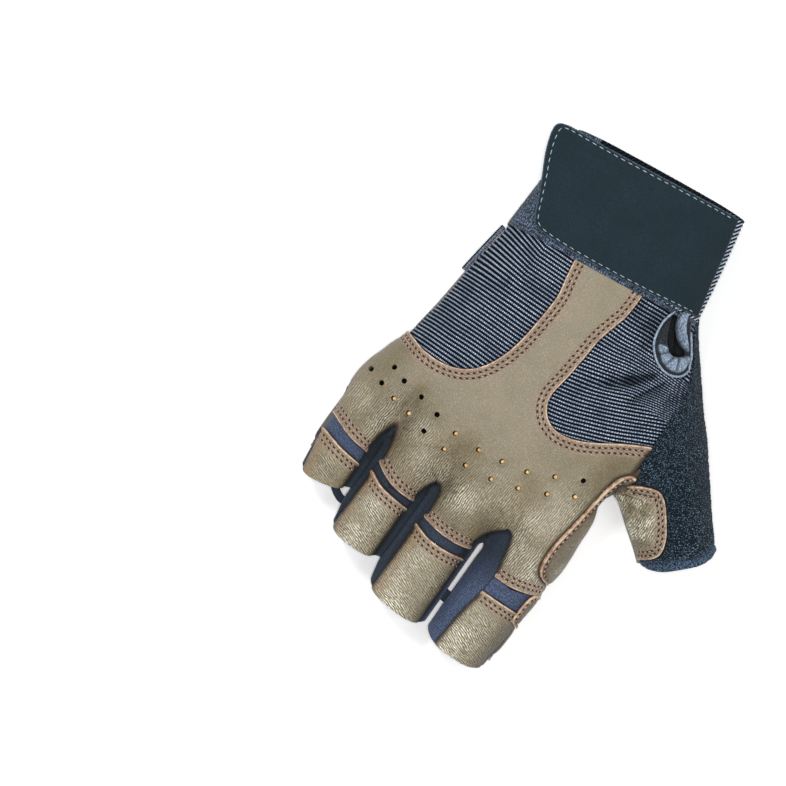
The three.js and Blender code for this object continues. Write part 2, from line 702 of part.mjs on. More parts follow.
function buildThumb() {
  const terry = layer("terry").intersect(prism(THUMB_BACK));
  solids.thumb_back = terry
    .subtract(cutters.thenar)
    .subtract(cutters.thumbPatch)
    .subtract(cutters.guard)
    .subtract(cutters.back);
  solids.thumb_patch = layer("guard")
    .intersect(prism(THUMB_PATCH, THUMB_SEAM + PANEL_GAP / 2, TALL))
    .subtract(cutters.guard);
  solids.web_guard = layer("guard")
    .intersect(prism(WEB_GUARD, FLOOR_TO_FORM + 1, TALL))
    .subtract(prism(grown(THENAR_PAD, PANEL_GAP), -TALL, THUMB_SEAM + PANEL_GAP));
}

function buildPalm() {
  solids.palm_panel = layer("cloth")
    .intersect(onPalm(rectangle(-REACH, REACH, -46, REACH)))
    .subtract(cutters.thenar)
    .subtract(cutters.guard)
    .subtract(cutters.thumbRoot)
    .subtract(airHoles(PALM_HOLES, -TALL, SEAM_HEIGHT));
  solids.thenar_pad = layer("padded").intersect(
    prism(THENAR_PAD, -TALL, THUMB_SEAM - PANEL_GAP / 2),
  );
  const overlay = layer("overlay").subtract(cutters.thenar).subtract(cutters.guard);
  solids.heel_pad = overlay.intersect(onPalm(HEEL_PAD));
  solids.knuckle_pad = overlay.intersect(onPalm(KNUCKLE_PAD));
  solids.finger_base_leather = overlay.intersect(onPalm(FINGER_BASE_LEATHER));
  Object.entries(FINGER_PATCHES).forEach(([finger, points]) => {
    solids["patch_" + finger] = overlay.intersect(onPalm(points));
  });
}

// Each finger's sleeve is its palm side and its two side walls, up to the crotches
function buildSleeves() {
  const walls = { little: [-90, -43.6], ring: [-43.6, -18.1], middle: [-18.1, 9.8], index: [9.8, 90] };
  const dorsal = Object.keys(FINGERS).map((finger) =>
    onBack(grown(stripOutline(finger), PANEL_GAP)).add(
      onBack(grown(capOutline(finger), PANEL_GAP)),
    ),
  );
  const upper = dorsal.reduce((sum, part) => sum.add(part), cutters.back);
  Object.entries(walls).forEach(([finger, [left, right]]) => {
    const zone = rectangle(left + PANEL_GAP / 2, right - PANEL_GAP / 2, -REACH, -46.5);
    solids["sleeve_" + finger] = layer("cloth")
      .intersect(prism(zone))
      .subtract(upper)
      .subtract(cutters.guard);
  });
  solids.index_side_patch = layer("patch").intersect(
    prism(INDEX_SIDE_PATCH, SEAM_HEIGHT + PANEL_GAP / 2, TALL),
  );
}

function cuffStations(past) {
  const inside = [0.01, 14, 28, 42.99].map((y) => ({ y }));
  return [{ y: -past }, ...inside, { y: CUFF.length + past }];
}

function buildCuff() {
  const cuffLoft = (offset, past = 0) =>
    loft(CUFF_SECTIONS, cuffStations(past), CUFF_SHAPE, offset, CUFF);
  const band = cuffLoft(-0.4).subtract(cuffLoft(-2.6, 6));
  const knitSide = prism(rectangle(-REACH, CUFF_JOIN.outer, -REACH, REACH), -TALL, TALL, CUFF).add(
    prism(rectangle(-REACH, CUFF_JOIN.inner, -REACH, REACH), -TALL, SEAM_HEIGHT, CUFF),
  );
  const knitCut = prism(
    rectangle(-REACH, CUFF_JOIN.outer + PANEL_GAP, -REACH, REACH), -TALL, TALL, CUFF,
  ).add(
    prism(
      rectangle(-REACH, CUFF_JOIN.inner + PANEL_GAP, -REACH, REACH),
      -TALL, SEAM_HEIGHT + PANEL_GAP, CUFF,
    ),
  );
  solids.cuff_knit = band.intersect(knitSide);
  solids.cuff_twill = band.subtract(knitCut);
  const strapLoft = (offset) =>
    loft(STRAP_SECTIONS, cuffStations(4), CUFF_SHAPE, offset, CUFF);
  solids.wrist_strap = strapLoft(2.6)
    .subtract(strapLoft(0.1))
    .intersect(onBack(WRIST_STRAP))
    .subtract(cuffLoft(-0.05, 5));
  solids.pull_tab = cuffLoft(FLOOR_TO_FORM, 8)
    .subtract(cuffLoft(-0.05, 9))
    .intersect(onPalm(PULL_TAB));
}

// The small folded tab in the side seam, and the two ribbons that help to pull the glove off
const SIDE_TAB = { front: 17, back: 39, low: 12.3, high: 16, outer: 1.6, inner: -0.15 };
const PULL_LOOPS = {
  index: { points: [[6.2, -89.2], [12, -89.8], [18, -89.4]], width: 5, sides: 1 },
  little: {
    points: [[-52, -74.4], [-49.5, -79.2], [-44, -82.2], [-40.4, -79.6]],
    width: 3.2,
    sides: 1,
  },
};
const RIBBON = { low: 0.5, high: 1.75 };

function buildTrim() {
  const { front, back, low, high, outer, inner } = SIDE_TAB;
  solids.side_tab = handForm(outer)
    .subtract(handForm(inner))
    .intersect(prism(rectangle(-REACH, -30, front, back), low, high));
  Object.entries(PULL_LOOPS).forEach(([finger, { points, width }]) => {
    const middle = new THREE.SplineCurve(points.map(([x, y]) => new THREE.Vector2(x, y)));
    const steps = 8;
    const side = (sign) =>
      middle.getPoints(steps).map((p, k) => {
        const along = middle.getTangent(k / steps);
        return new THREE.Vector2(p.x - sign * along.y * (width / 2), p.y + sign * along.x * (width / 2));
      });
    const ribbon = [...side(1), ...side(-1).reverse()];
    solids["pull_loop_" + finger] = prism(
      THREE.ShapeUtils.isClockWise(ribbon) ? ribbon.reverse() : ribbon,
      RIBBON.low,
      RIBBON.high,
    );
  });
}

buildBack();
buildThumb();
buildPalm();
buildSleeves();
buildCuff();
buildTrim();

// Materials
const cloth = (color, roughness) => new THREE.MeshStandardMaterial({ color, roughness, metalness: 0 });
const MATERIAL = {
  leather: cloth(0x8a7c5c, 0.62),
  rib: cloth(0x26323f, 0.85),
  stretch: cloth(0x2c3852, 0.8),
  terry: cloth(0x232d3a, 0.95),
  suede: cloth(0x2b363c, 0.92),
  twill: cloth(0x333f4f, 0.85),
  knit: cloth(0x262f37, 0.88),
  loop: cloth(0x1f2b31, 0.92),
  binding: cloth(0x3a4656, 0.6),
};

function materialOf(name) {
  if (name.startsWith("rib_")) return MATERIAL.rib;
  if (/^(strip|sleeve|pull_loop|side_tab)/.test(name)) return MATERIAL.stretch;
  if (name === "thumb_back") return MATERIAL.terry;
  if (name === "palm_panel") return MATERIAL.suede;
  if (name === "cuff_twill") return MATERIAL.twill;
  if (name === "cuff_knit") return MATERIAL.knit;
  if (name === "wrist_strap") return MATERIAL.loop;
  if (name === "vent_binding") return MATERIAL.binding;
  return MATERIAL.leather;
}

function meshOf(name, solid) {
  const { vertProperties, triVerts } = onlyLargest(solid).getMesh();
  const geometry = new THREE.BufferGeometry();
  geometry.setAttribute("position", new THREE.BufferAttribute(vertProperties, 3));
  geometry.setIndex(new THREE.BufferAttribute(triVerts, 1));
  geometry.computeVertexNormals();
  const mesh = new THREE.Mesh(geometry, materialOf(name));
  mesh.name = name;
  return mesh;
}

const glove = new THREE.Group();
glove.name = "glove";
Object.entries(solids).forEach(([name, solid]) => glove.add(meshOf(name, solid)));
glove.position.set(-CENTRE.x, -CENTRE.y, 0);

export default glove;
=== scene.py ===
"""Half-finger fitness glove for the right hand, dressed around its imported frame.

The glove's skin is one smooth surface around a hand form. Each panel is cut from that skin
along its outline, raised by its layer's height, and closed with a rim and an inner face.
Lengths are in millimetres in the hand's own frame until a mesh is made, and in metres there.
"""
import math

import bpy
import numpy as np
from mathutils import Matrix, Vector
from mathutils.bvhtree import BVHTree


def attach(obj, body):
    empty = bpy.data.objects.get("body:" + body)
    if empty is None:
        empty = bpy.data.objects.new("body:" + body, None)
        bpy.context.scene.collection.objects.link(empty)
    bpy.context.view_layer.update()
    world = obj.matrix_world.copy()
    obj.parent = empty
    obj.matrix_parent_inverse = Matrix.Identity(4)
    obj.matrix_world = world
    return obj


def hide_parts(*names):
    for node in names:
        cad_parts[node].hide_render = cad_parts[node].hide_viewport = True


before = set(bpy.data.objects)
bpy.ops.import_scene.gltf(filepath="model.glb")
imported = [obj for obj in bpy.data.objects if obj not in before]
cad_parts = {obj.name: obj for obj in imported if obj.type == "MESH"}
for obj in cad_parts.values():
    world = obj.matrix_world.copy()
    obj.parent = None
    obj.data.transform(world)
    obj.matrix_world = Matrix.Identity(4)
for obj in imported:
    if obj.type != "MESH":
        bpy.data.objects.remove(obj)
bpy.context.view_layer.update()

# Driving dimensions, the same as the frame's
CENTRE = np.array([9.15, -6.93, 0.0])
FLOOR = 1.6
SEAM = 12.0
THUMB_SEAM = 10.0
CUFF_AT = (-12.0, 46.5)
CUFF_TURN = math.radians(6)
CUFF_LENGTH = 43.0
THUMB_TURN = math.radians(45)

# Finer sizes: the ribs' pitch, the upper edge of the finger patches, how far cloth runs under
# leather, the air holes' radius, and how far sewn rows lie from an edge
RIB_PITCH = 1.5
PATCH_TOP = 8.2
LAP = 1.5
SHORT_LAP = 1.0
HOLE_RADIUS = 1.15
HEM_ROWS = (1.7, 3.5)
THUMB_HEM_ROWS = (1.4, 2.9)
PALM_ROWS = (1.5, 3.0)
PALM_ROW = (2.4,)
GUARD_ROW = (1.5,)
STRAP_ROW = (1.1,)

# Heights of each layer's outer and inner face over the skin
LAYERS = {
    "leather": (0.35, -1.3),
    "thumb leather": (0.7, -1.3),
    "guard": (0.9, -1.3),
    "pad": (0.55, -1.3),
    "index side": (1.1, 0.2),
    "ribs": (-0.7, -1.9),
    "suede": (-0.7, -1.9),
    "stretch": (-0.6, -1.9),
    "towelling": (-0.1, -1.9),
    "vent": (0.1, -1.3),
    "vent seat": (0.0, -1.3),
    "cuff": (0.6, -1.2),
    "strap": (2.5, 0.7),
    "pull tab": (1.5, 0.5),
    "side tab": (0.95, -0.4),
    "side tab edge": (1.5, 1.0),
}

# Threads along a row, with dark pits between them painted as the shade in the needle holes, and the
# strap's pale dashes. A row is laid step by step, and stops at a panel's margin, a steep face or a jump
# in height.
PITCH = 2.35
HOLE = 1.05
STITCHES = {
    "thread": {
        "start": 0.4, "pitch": PITCH, "length": PITCH - HOLE, "slant": 0.14, "radius": 0.27,
        "sink": 0.2, "proud": 0.16,
    },
    "pit": {
        "start": 0.4 + PITCH - HOLE, "pitch": PITCH, "length": HOLE, "slant": 0.24, "radius": 0.36,
        "sink": 0.14, "proud": 0.0,
    },
}
DASHES = {
    "dash": {
        "start": 0.4, "pitch": 3.1, "length": 2.0, "slant": 0.05, "radius": 0.17,
        "sink": 0.1, "proud": 0.16,
    },
}
ROW_STEP = 0.4
ROW_MARGIN = 0.4
SHORTEST_RUN = 6
STEEPEST = 0.12
LONGEST_JUMP = 2.5
THREAD_SIDES = 5
THREAD_SECTIONS = ((0.0, 0.55), (0.3, 1.0), (0.7, 1.0), (1.0, 0.55))

# Steps of the grids and nets, places beyond the whole glove, the part of the plan in use, and
# how far from an edge or a sewn channel its distance still counts
STEP = 0.72
GRID = 0.35
PROBE = 0.05
REACH = 200.0
SKY = 90.0
BLOCK = 1500
USED_LOW = np.array([-78.0, -122.0])
USED_HIGH = np.array([98.0, 98.0])
RELAX_ROUNDS = 4
RELAX_SHARE = 0.6
LEAST_TRIANGLES = 60
EDGE_REACH = 8.0
QUILT_REACH = 6.0
NO_HOLE = 5.0
NO_MOUTH = -9.0
ROUND_SIDES = 8

# A panel's least thickness, the shape of its rim, and how it is pressed flat on the floor
THINNEST = 0.7
LIP = 0.15
RIM_SHARE = 0.22
RIM_LIMIT = 1.6
REST = 0.25
SQUASH = 0.6

# Random values are looked up in one table, at a key mixed from the cell's three numbers
SEED = 7
NOISE_VALUES = 4096
NOISE_KEYS = (73856093, 19349663, 83492791)

# The photo's view, straight down, in metres, and the studio round it
PHOTO_TURN = math.radians(35)
PHOTO_WIDTH = 0.2987
PHOTO_MIDDLE = (-0.06045, -0.03037)
CAMERA_HEIGHT = 1.6
BACK_HEIGHT = 0.025
SENSOR = 36.0
VIEW_END = 20.0
FLOOR_HALF = 3.0
ROOM_LIGHT = 0.36
LAMPS = {
    "key": ((-0.75, 0.4, 1.2), 0.4, 10.0),
    "fill": ((0.8, 0.1, 1.1), 0.8, 5.0),
    "top": ((-0.04, -0.05, 1.9), 0.25, 24.0),
}

# Sections: y, left edge, right edge, height of the crown, drop from crown to edge
PALM = [
    (58, -50, 26, 34, 5),
    (46, -51.5, 31, 34.5, 5),
    (30, -54, 38.5, 34.5, 5.5),
    (15, -56, 42, 34, 6),
    (0, -57.5, 43, 33.5, 6),
    (-14, -60, 40.5, 33, 6),
    (-26, -63.2, 37.2, 32.5, 6),
    (-38, -64.8, 37.6, 31.5, 5.5),
    (-48, -66, 38.6, 29, 5),
    (-56, -66, 39, 24.5, 4),
    (-62, -64, 38, 17, 2),
]
FINGERS = {
    "little": [
        (-30, -64, -43.5, 23.5, 2),
        (-46, -66, -43.9, 25.2, 2.5),
        (-58, -66.2, -43.9, 22.5, 2.5),
        (-70, -65.9, -43.5, 19, 2.5),
        (-81, -65, -43.3, 16.5, 2),
    ],
    "ring": [
        (-32, -41.5, -18.6, 27, 2),
        (-50, -42, -18.7, 27.8, 2.5),
        (-62, -41.9, -18.9, 24.5, 3),
        (-78, -42.6, -19, 21, 3),
        (-94.3, -42.8, -19.2, 18.2, 2.5),
    ],
    "middle": [
        (-32, -17.5, 8.5, 29, 2),
        (-52, -17.9, 8.8, 29, 2.5),
        (-66, -17.9, 8.8, 25.5, 3),
        (-84, -18.2, 9, 22, 3),
        (-105, -18.4, 9.2, 19, 2.5),
    ],
    "index": [
        (-32, 12, 38, 28, 2.5),
        (-52, 11.6, 38.8, 28.5, 3),
        (-66, 10.9, 39.2, 25.5, 4),
        (-84, 10.6, 38.7, 22, 4.5),
        (-107, 10.6, 37.4, 19, 4),
    ],
}
THUMB = [
    (18, 24, 54.5, 28, 4),
    (0, 16, 54.6, 30, 4.5),
    (-20, 12, 53.3, 29.5, 5),
    (-34, 13, 52.4, 27.5, 5),
    (-44, 15.4, 51.4, 25.5, 4.5),
    (-56, 17.3, 50.2, 23.5, 4),
    (-66, 18.8, 49.3, 22, 3.5),
    (-75.5, 19.6, 48.3, 20.5, 3),
]
CUFF = [(43, -33.8, 37.3, 34, 5), (20, -37.3, 39.2, 35, 5), (0, -40.2, 40.2, 35, 5)]
STRAP = [(43, -50, 37.3, 34, 5), (20, -50, 39.2, 35, 5), (-4, -50, 40.2, 35, 5)]

# How far a mouth's rim is skewed to a side, curves back and slants, where the fingers' and the
# thumb's mouths are looked for, and the fingers' cloth walls and the gaps between them
TIP_SKEW = {"little": 2.2, "ring": 0.0, "middle": -0.8, "index": 0.0, "thumb": 0.0}
TIP_CURVE = 2.6
TIP_SLANT = 3.0
FINGER_MOUTHS_BELOW = -60.0
THUMB_MOUTH_BEYOND = 50.0
FINGER_WALLS = {
    "little": (-90, -42.97),
    "ring": (-42.97, -18.58),
    "middle": (-18.58, 9.8),
    "index": (9.8, 90),
}
FINGER_GAPS = (-43.2, -18.6, 9.7)
GAP_REACH = 1.5
GAP_STEP = 0.25
SLEEVE_TOP = -46.5
SUEDE_END = -46.0

# How far the palm's end steps back towards the little finger, and the radii of the sections'
# upper and lower corners as shares of their heights
KNUCKLE_STEP = {"from": -18.0, "to": -62.0, "side": 12.0, "reach": 76.0, "back": 15.0}
CORNERS = {"palm": (0.46, 0.34), "finger": (0.5, 0.34)}

# Where parts of the form blend, over how many millimetres, and boxes round the skins
BLEND = {"thumb": 7.0, "finger": 5.0, "mouth": 4.0, "knuckle": 6.0}
OUTSIDE = 30.0
HAND_BOX = ([-72, -118, -3], [94, 56, 42])
CUFF_BOX = ([-62, 38, -3], [36, 96, 42])
CUFF_COVER = 2.2

# Dents in the back: centre x, y, depth, half length, half width, turn in degrees
DENTS = [
    (17, 17, 2.4, 17, 4.5, 38),
    (27, 20, 1.6, 11, 3.5, 46),
    (-43.6, -38, 1.6, 9, 5, 88),
    (-17.5, -44, 1.6, 9, 5.5, 90),
    (13, -44, 1.8, 9, 6, 92),
    (42, -4, 1.6, 12, 4, 85),
]


# Curves in the plan
def catmull(points, steps=6):
    """A smooth curve through the points, at a few steps between each two."""
    p = np.asarray(points, float)
    t = (np.arange(steps) / steps)[:, None]
    parts = []
    for i in range(len(p) - 1):
        a, b = p[i], p[i + 1]
        v0 = (b - p[max(i - 1, 0)]) / 2
        v1 = (p[min(i + 2, len(p) - 1)] - a) / 2
        cubic = 2 * a - 2 * b + v0 + v1
        square = 3 * b - 3 * a - 2 * v0 - v1
        parts.append(cubic * t**3 + square * t**2 + v0 * t + a)
    return np.vstack([*parts, p[-1:]])


def drawn(edge):
    """An edge as a line of points, smooth if it has three or more."""
    return catmull(edge) if len(edge) > 2 else np.asarray(edge, float)


def outline(*edges):
    """A closed outline from edges; an edge of three points or more is a smooth curve."""
    points = np.vstack([drawn(edge) for edge in edges])
    apart = np.linalg.norm(points - np.roll(points, 1, axis=0), axis=1) > 0.05
    return points[apart]


def unit(v):
    """Each row at a length of 1."""
    return v / np.maximum(np.linalg.norm(v, axis=1), 1e-6)[:, None]


def held(x):
    """Values held between 0 and 1."""
    return np.clip(x, 0, 1)


def along_points(points):
    """How far along a line each of its points lies."""
    return np.concatenate([[0], np.cumsum(np.linalg.norm(np.diff(points, axis=0), axis=1))])


def read_at(places, along, values):
    """Rows of values at places along a line."""
    return np.column_stack([np.interp(places, along, column) for column in values.T])


def sampled(line, step=ROW_STEP):
    """A drawn line at even steps."""
    points = drawn(line)
    along = along_points(points)
    return read_at(np.arange(0, along[-1], step), along, points)


def sideways(line):
    """The way to the side at each point of a line seen from above."""
    heading = unit(np.gradient(line, axis=0))
    return np.column_stack([-heading[:, 1], heading[:, 0]])


def turned(p, at, turn):
    """Places seen from above, in a frame at a point and turned by an angle."""
    x, y = p[:, 0] - at[0], p[:, 1] - at[1]
    c, s = math.cos(turn), math.sin(turn)
    return x * c + y * s, -x * s + y * c


def nearest(points, lines):
    """Distance to the nearest of the polylines, and the side of it."""
    a = np.vstack([line[:-1] for line in lines])
    d = np.vstack([np.diff(line, axis=0) for line in lines])
    square = np.maximum(np.hypot(d[:, 0], d[:, 1]), 1e-9) ** 2
    best, side = np.empty(len(points)), np.empty(len(points))
    for first in range(0, len(points), BLOCK):
        part = slice(first, first + BLOCK)
        x = points[part, 0, None] - a[:, 0]
        y = points[part, 1, None] - a[:, 1]
        t = held((x * d[:, 0] + y * d[:, 1]) / square)
        far = (x - t * d[:, 0]) ** 2 + (y - t * d[:, 1]) ** 2
        k = far.argmin(1)
        rows = np.arange(len(k))
        best[part] = np.sqrt(far[rows, k])
        cross = d[k, 0] * y[rows, k] - d[k, 1] * x[rows, k]
        side[part] = np.where(cross < 0, -1, 1)
    return best, side


def enclosed(points, shape):
    """Which points are inside an outline."""
    a, b = shape, np.roll(shape, -1, axis=0)
    slope = (b[:, 0] - a[:, 0]) / np.where(a[:, 1] == b[:, 1], 1e9, b[:, 1] - a[:, 1])
    inside = np.empty(len(points), bool)
    for first in range(0, len(points), BLOCK):
        part = slice(first, first + BLOCK)
        x, y = points[part, 0, None], points[part, 1, None]
        crosses = ((a[:, 1] > y) != (b[:, 1] > y)) & (x < a[:, 0] + slope * (y - a[:, 1]))
        inside[part] = crosses.sum(1) % 2 == 1
    return inside


def distance_grid(shape):
    """An outline's signed distance, negative inside, on a grid round the part of it in use."""
    low = np.maximum(shape.min(0) - 6, USED_LOW)
    high = np.minimum(shape.max(0) + 6, USED_HIGH)
    x, y = (np.arange(low[k], high[k] + GRID, GRID) for k in (0, 1))
    nodes = np.stack(np.meshgrid(x, y, indexing="ij"), -1).reshape(-1, 2)
    away = nearest(nodes, [np.vstack([shape, shape[:1]])])[0]
    signed = np.where(enclosed(nodes, shape), -away, away)
    return low, signed.reshape(len(x), len(y))


grids = {}


def plan(points, shape):
    """Signed distance to an outline seen from above, from its grid."""
    key = shape.tobytes()
    if key not in grids:
        grids[key] = distance_grid(shape)
    low, values = grids[key]
    size = np.array(values.shape) - 1
    at = np.clip((points[:, :2] - low) / GRID, 0, size - 1e-6)
    cell = at.astype(np.int64)
    fx, fy = (at - cell).T
    i, j = cell.T
    near = values[i, j] * (1 - fy) + values[i, j + 1] * fy
    far = values[i + 1, j] * (1 - fy) + values[i + 1, j + 1] * fy
    return near * (1 - fx) + far * fx


def noise(points, scale, seed):
    """Smooth random values from 0 to 1, with a feature size in millimetres for each axis."""
    table = np.random.default_rng(SEED + seed).random(NOISE_VALUES)
    q = points / np.asarray(scale, float) + 100.37
    cell = np.floor(q).astype(np.int64)
    f = q - cell
    f = f * f * (3 - 2 * f)
    total = np.zeros(len(q))
    for corner in np.ndindex(2, 2, 2):
        a, b, c = ((cell + corner) * NOISE_KEYS).T
        total += table[(a ^ b ^ c) & (NOISE_VALUES - 1)] * np.where(corner, f, 1 - f).prod(1)
    return total


def uneven(points, size, scale, seed):
    """Smooth random heights to both sides of 0."""
    return size * (noise(points, scale, seed) - 0.5)


def smooth_min(a, b, k):
    """The lesser of two distances, blended where they are within k of each other."""
    h = np.clip(k - np.abs(a - b), 0, None) / k
    return np.minimum(a, b) - h * h * k / 4


def smooth_max(a, b, k):
    return -smooth_min(-a, -b, k)


def bump(x, width):
    """1 at 0, falling to nothing over a few widths."""
    return np.exp(-((x / width) ** 2))


# The hand form
class Loft:
    """A tube through a table of sections, each a box with round corners and an arched top."""

    def __init__(self, rows, corners, turn=0.0, at=(0.0, 0.0)):
        table = np.array(rows[::-1], float)
        self.top_share, self.bottom_share = CORNERS[corners]
        self.turn = turn
        self.at = at
        self.first, self.last = table[0, 0], table[-1, 0]
        self.y = np.linspace(self.first, self.last, 240)
        self.columns = [self._smooth(table[:, 0], table[:, k]) for k in (1, 2, 3, 4)]

    def _smooth(self, x, v):
        slope = np.gradient(v, x)
        slope[1:-1] = (v[2:] - v[:-2]) / (x[2:] - x[:-2])
        i = np.clip(np.searchsorted(x, self.y) - 1, 0, len(x) - 2)
        span = x[i + 1] - x[i]
        t = (self.y - x[i]) / span
        return (
            (2 * t**3 - 3 * t**2 + 1) * v[i]
            + (t**3 - 2 * t**2 + t) * span * slope[i]
            + (3 * t**2 - 2 * t**3) * v[i + 1]
            + (t**3 - t**2) * span * slope[i + 1]
        )

    def row(self, v):
        return [np.interp(v, self.y, column) for column in self.columns]

    def local(self, p):
        return turned(p, self.at, self.turn)

    def section(self, u, v, z):
        """Distance in the section at v; the arch is undone before the box is measured."""
        left, right, crown, arch = self.row(v)
        half = (right - left) / 2
        height = crown - FLOOR
        dx = u - (left + right) / 2
        drop = arch * np.minimum((dx / half) ** 2, 1.4)
        flat = np.where(z > FLOOR, FLOOR + (z - FLOOR) / (1 - drop / height), z)
        dz = flat - (FLOOR + height / 2)
        top = np.minimum(self.top_share * height, half * 0.96)
        bottom = np.minimum(self.bottom_share * height, half * 0.8)
        r = np.where(dz > 0, top, bottom)
        qx = np.abs(dx) - half + r
        qz = np.abs(dz) - height / 2 + r
        outside = np.hypot(np.maximum(qx, 0), np.maximum(qz, 0))
        return np.minimum(np.maximum(qx, qz), 0) + outside - r

    def distance(self, p):
        u, v = self.local(p)
        d = self.section(u, v, p[:, 2])
        return smooth_max(d, v - self.last, BLEND["mouth"])

    def tip(self, p, skew):
        """How far a point lies beyond the mouth, whose rim curves back and slants."""
        u, v = self.local(p)
        left, right, crown, _ = self.row(v)
        side = np.clip((u - (left + right) / 2) / ((right - left) / 2), -1.1, 1.1)
        low = 1 - held((p[:, 2] - FLOOR) / (crown - FLOOR))
        return self.first + TIP_CURVE * side**4 + TIP_SLANT * low + skew * side - v


palm_loft = Loft(PALM, "palm")
thumb_loft = Loft(THUMB, "finger", THUMB_TURN)
finger_lofts = {name: Loft(rows, "finger") for name, rows in FINGERS.items()}
cuff_loft = Loft(CUFF, "palm", CUFF_TURN, CUFF_AT)
strap_loft = Loft(STRAP, "palm", CUFF_TURN, CUFF_AT)


def dent_depth(p):
    """How deep the dents are at points of the back."""
    depth = np.zeros(len(p))
    for x, y, deep, length, width, turn in DENTS:
        along, across = turned(p, (x, y), math.radians(turn))
        depth += deep * np.exp(-((along / length) ** 2) - (across / width) ** 2)
    return depth * held((p[:, 2] - SEAM) / SEAM)


def palm_distance(p):
    """Distance to the palm, whose end steps back towards the little finger."""
    k = KNUCKLE_STEP
    x, y = p[:, 0], p[:, 1]
    span = k["from"] - k["to"]
    back = k["back"] * held((k["side"] - x) / k["reach"]) ** 1.4
    squeezed = (y - k["from"]) / (1 - back / span) + k["from"]
    v = np.where(y < k["from"], squeezed, y)
    d = palm_loft.section(x, v, p[:, 2] + dent_depth(p))
    return smooth_max(d, k["to"] - v, BLEND["knuckle"])


def within(distance, low, high):
    """A distance that is only worked out near its box, to save time elsewhere."""

    def limited(p):
        near = np.all((p > low) & (p < high), axis=1)
        result = np.full(len(p), OUTSIDE)
        result[near] = distance(p[near])
        return result

    return limited


def finger_box(rows):
    """The box round a finger where its distance is worked out."""
    table = np.array(rows)
    low = [table[:, 1].min() - 6, -REACH, -REACH]
    high = [table[:, 2].max() + 6, table[0, 0] + 6, REACH]
    return low, high


FIELDS = [within(loft.distance, *finger_box(FINGERS[name])) for name, loft in finger_lofts.items()]
palm_field = within(palm_distance, [-75, -72, -REACH], [52, REACH, REACH])
thumb_field = within(thumb_loft.distance, [-6, -60, -REACH], [REACH, 64, REACH])


def hand_form(p):
    """Distance to the hand form; the fingers blend into the palm but not into each other."""
    fingers = FIELDS[0](p)
    for field in FIELDS[1:]:
        fingers = np.minimum(fingers, field(p))
    body = smooth_min(palm_field(p), thumb_field(p), BLEND["thumb"])
    return smooth_min(body, fingers, BLEND["finger"])


def form_of(loft):
    """Distance to a loft that is open at both ends."""
    return lambda p: loft.section(*loft.local(p), p[:, 2])


cuff_form = form_of(cuff_loft)
strap_form = form_of(strap_loft)


def gradient(p, form):
    """How a form's distance changes along each axis."""
    steps = np.eye(3) * PROBE
    return np.stack([(form(p + step) - form(p - step)) / (2 * PROBE) for step in steps], 1)


def settle(p, form):
    """Moves points onto the form's surface, and gives the normals there."""
    g = gradient(p, form)
    size = np.maximum((g * g).sum(1), 0.2)
    p = p - g * np.clip(form(p) / size, -1, 1)[:, None]
    return p, unit(gradient(p, form))


# A mesh is a dict of arrays: co, normal, tri, and any other value for each vertex
def skin_net(form, axes):
    """The form's surface as a net of quads, a vertex in each grid cell that it passes."""
    shape = [len(a) for a in axes]
    v = np.empty(shape, np.float32)
    yz = np.stack(np.meshgrid(axes[1], axes[2], indexing="ij"), -1).reshape(-1, 2)
    for i, x in enumerate(axes[0]):
        v[i] = form(np.column_stack([np.full(len(yz), x), yz])).reshape(shape[1:])
    inside = v < 0
    corners = list(np.ndindex(2, 2, 2))

    def at(grid, corner):
        return grid[tuple(slice(k, size - 1 + k) for k, size in zip(corner, shape))]

    count = sum(at(inside, corner).astype(np.int8) for corner in corners)
    active = (count > 0) & (count < 8)
    index = np.full(active.shape, -1, np.int64)
    index[active] = np.arange(active.sum())
    total = np.zeros((active.sum(), 3))
    hits = np.zeros(active.sum())
    for a in corners:
        for b in corners:
            way = np.subtract(b, a)
            if way.min() < 0 or way.sum() != 1:
                continue
            va, vb = at(v, a)[active], at(v, b)[active]
            crossing = (va < 0) != (vb < 0)
            t = (va / np.where(crossing, va - vb, 1))[crossing]
            total[crossing] += np.array(a) + t[:, None] * way
            hits[crossing] += 1
    cells = np.argwhere(active)
    where = cells + total / hits[:, None]
    co = np.stack([np.interp(where[:, k], np.arange(shape[k]), axes[k]) for k in range(3)], 1)
    quads = []
    for axis in range(3):
        b, c = (axis + 1) % 3, (axis + 2) % 3
        first = np.take(inside, range(shape[axis] - 1), axis)
        second = np.take(inside, range(1, shape[axis]), axis)
        edges = np.argwhere(first != second)
        outwards = first[tuple(edges.T)]
        inner = (edges > 0) & (edges < np.array(shape) - 1)
        keep = inner[:, b] & inner[:, c]
        edges, outwards = edges[keep], outwards[keep]
        step_b, step_c = np.eye(3, dtype=int)[[b, c]]
        ring = [edges - step_b - step_c, edges - step_c, edges, edges - step_b]
        quad = np.stack([index[tuple(r.T)] for r in ring], 1)
        quads.append(np.where(outwards[:, None], quad, quad[:, ::-1]))
    return co, np.vstack(quads)


def relaxed(co, quads, form):
    """Evens the net out along the surface."""
    edges = np.vstack([quads[:, [k, (k + 1) % 4]] for k in range(4)])
    here, there = np.vstack([edges, edges[:, ::-1]]).T
    degree = np.bincount(here, minlength=len(co))[:, None]
    for _ in range(RELAX_ROUNDS):
        total = np.stack([np.bincount(here, co[there, k], len(co)) for k in range(3)], 1)
        co, normal = settle(co + RELAX_SHARE * (total / degree - co), form)
    return co, normal


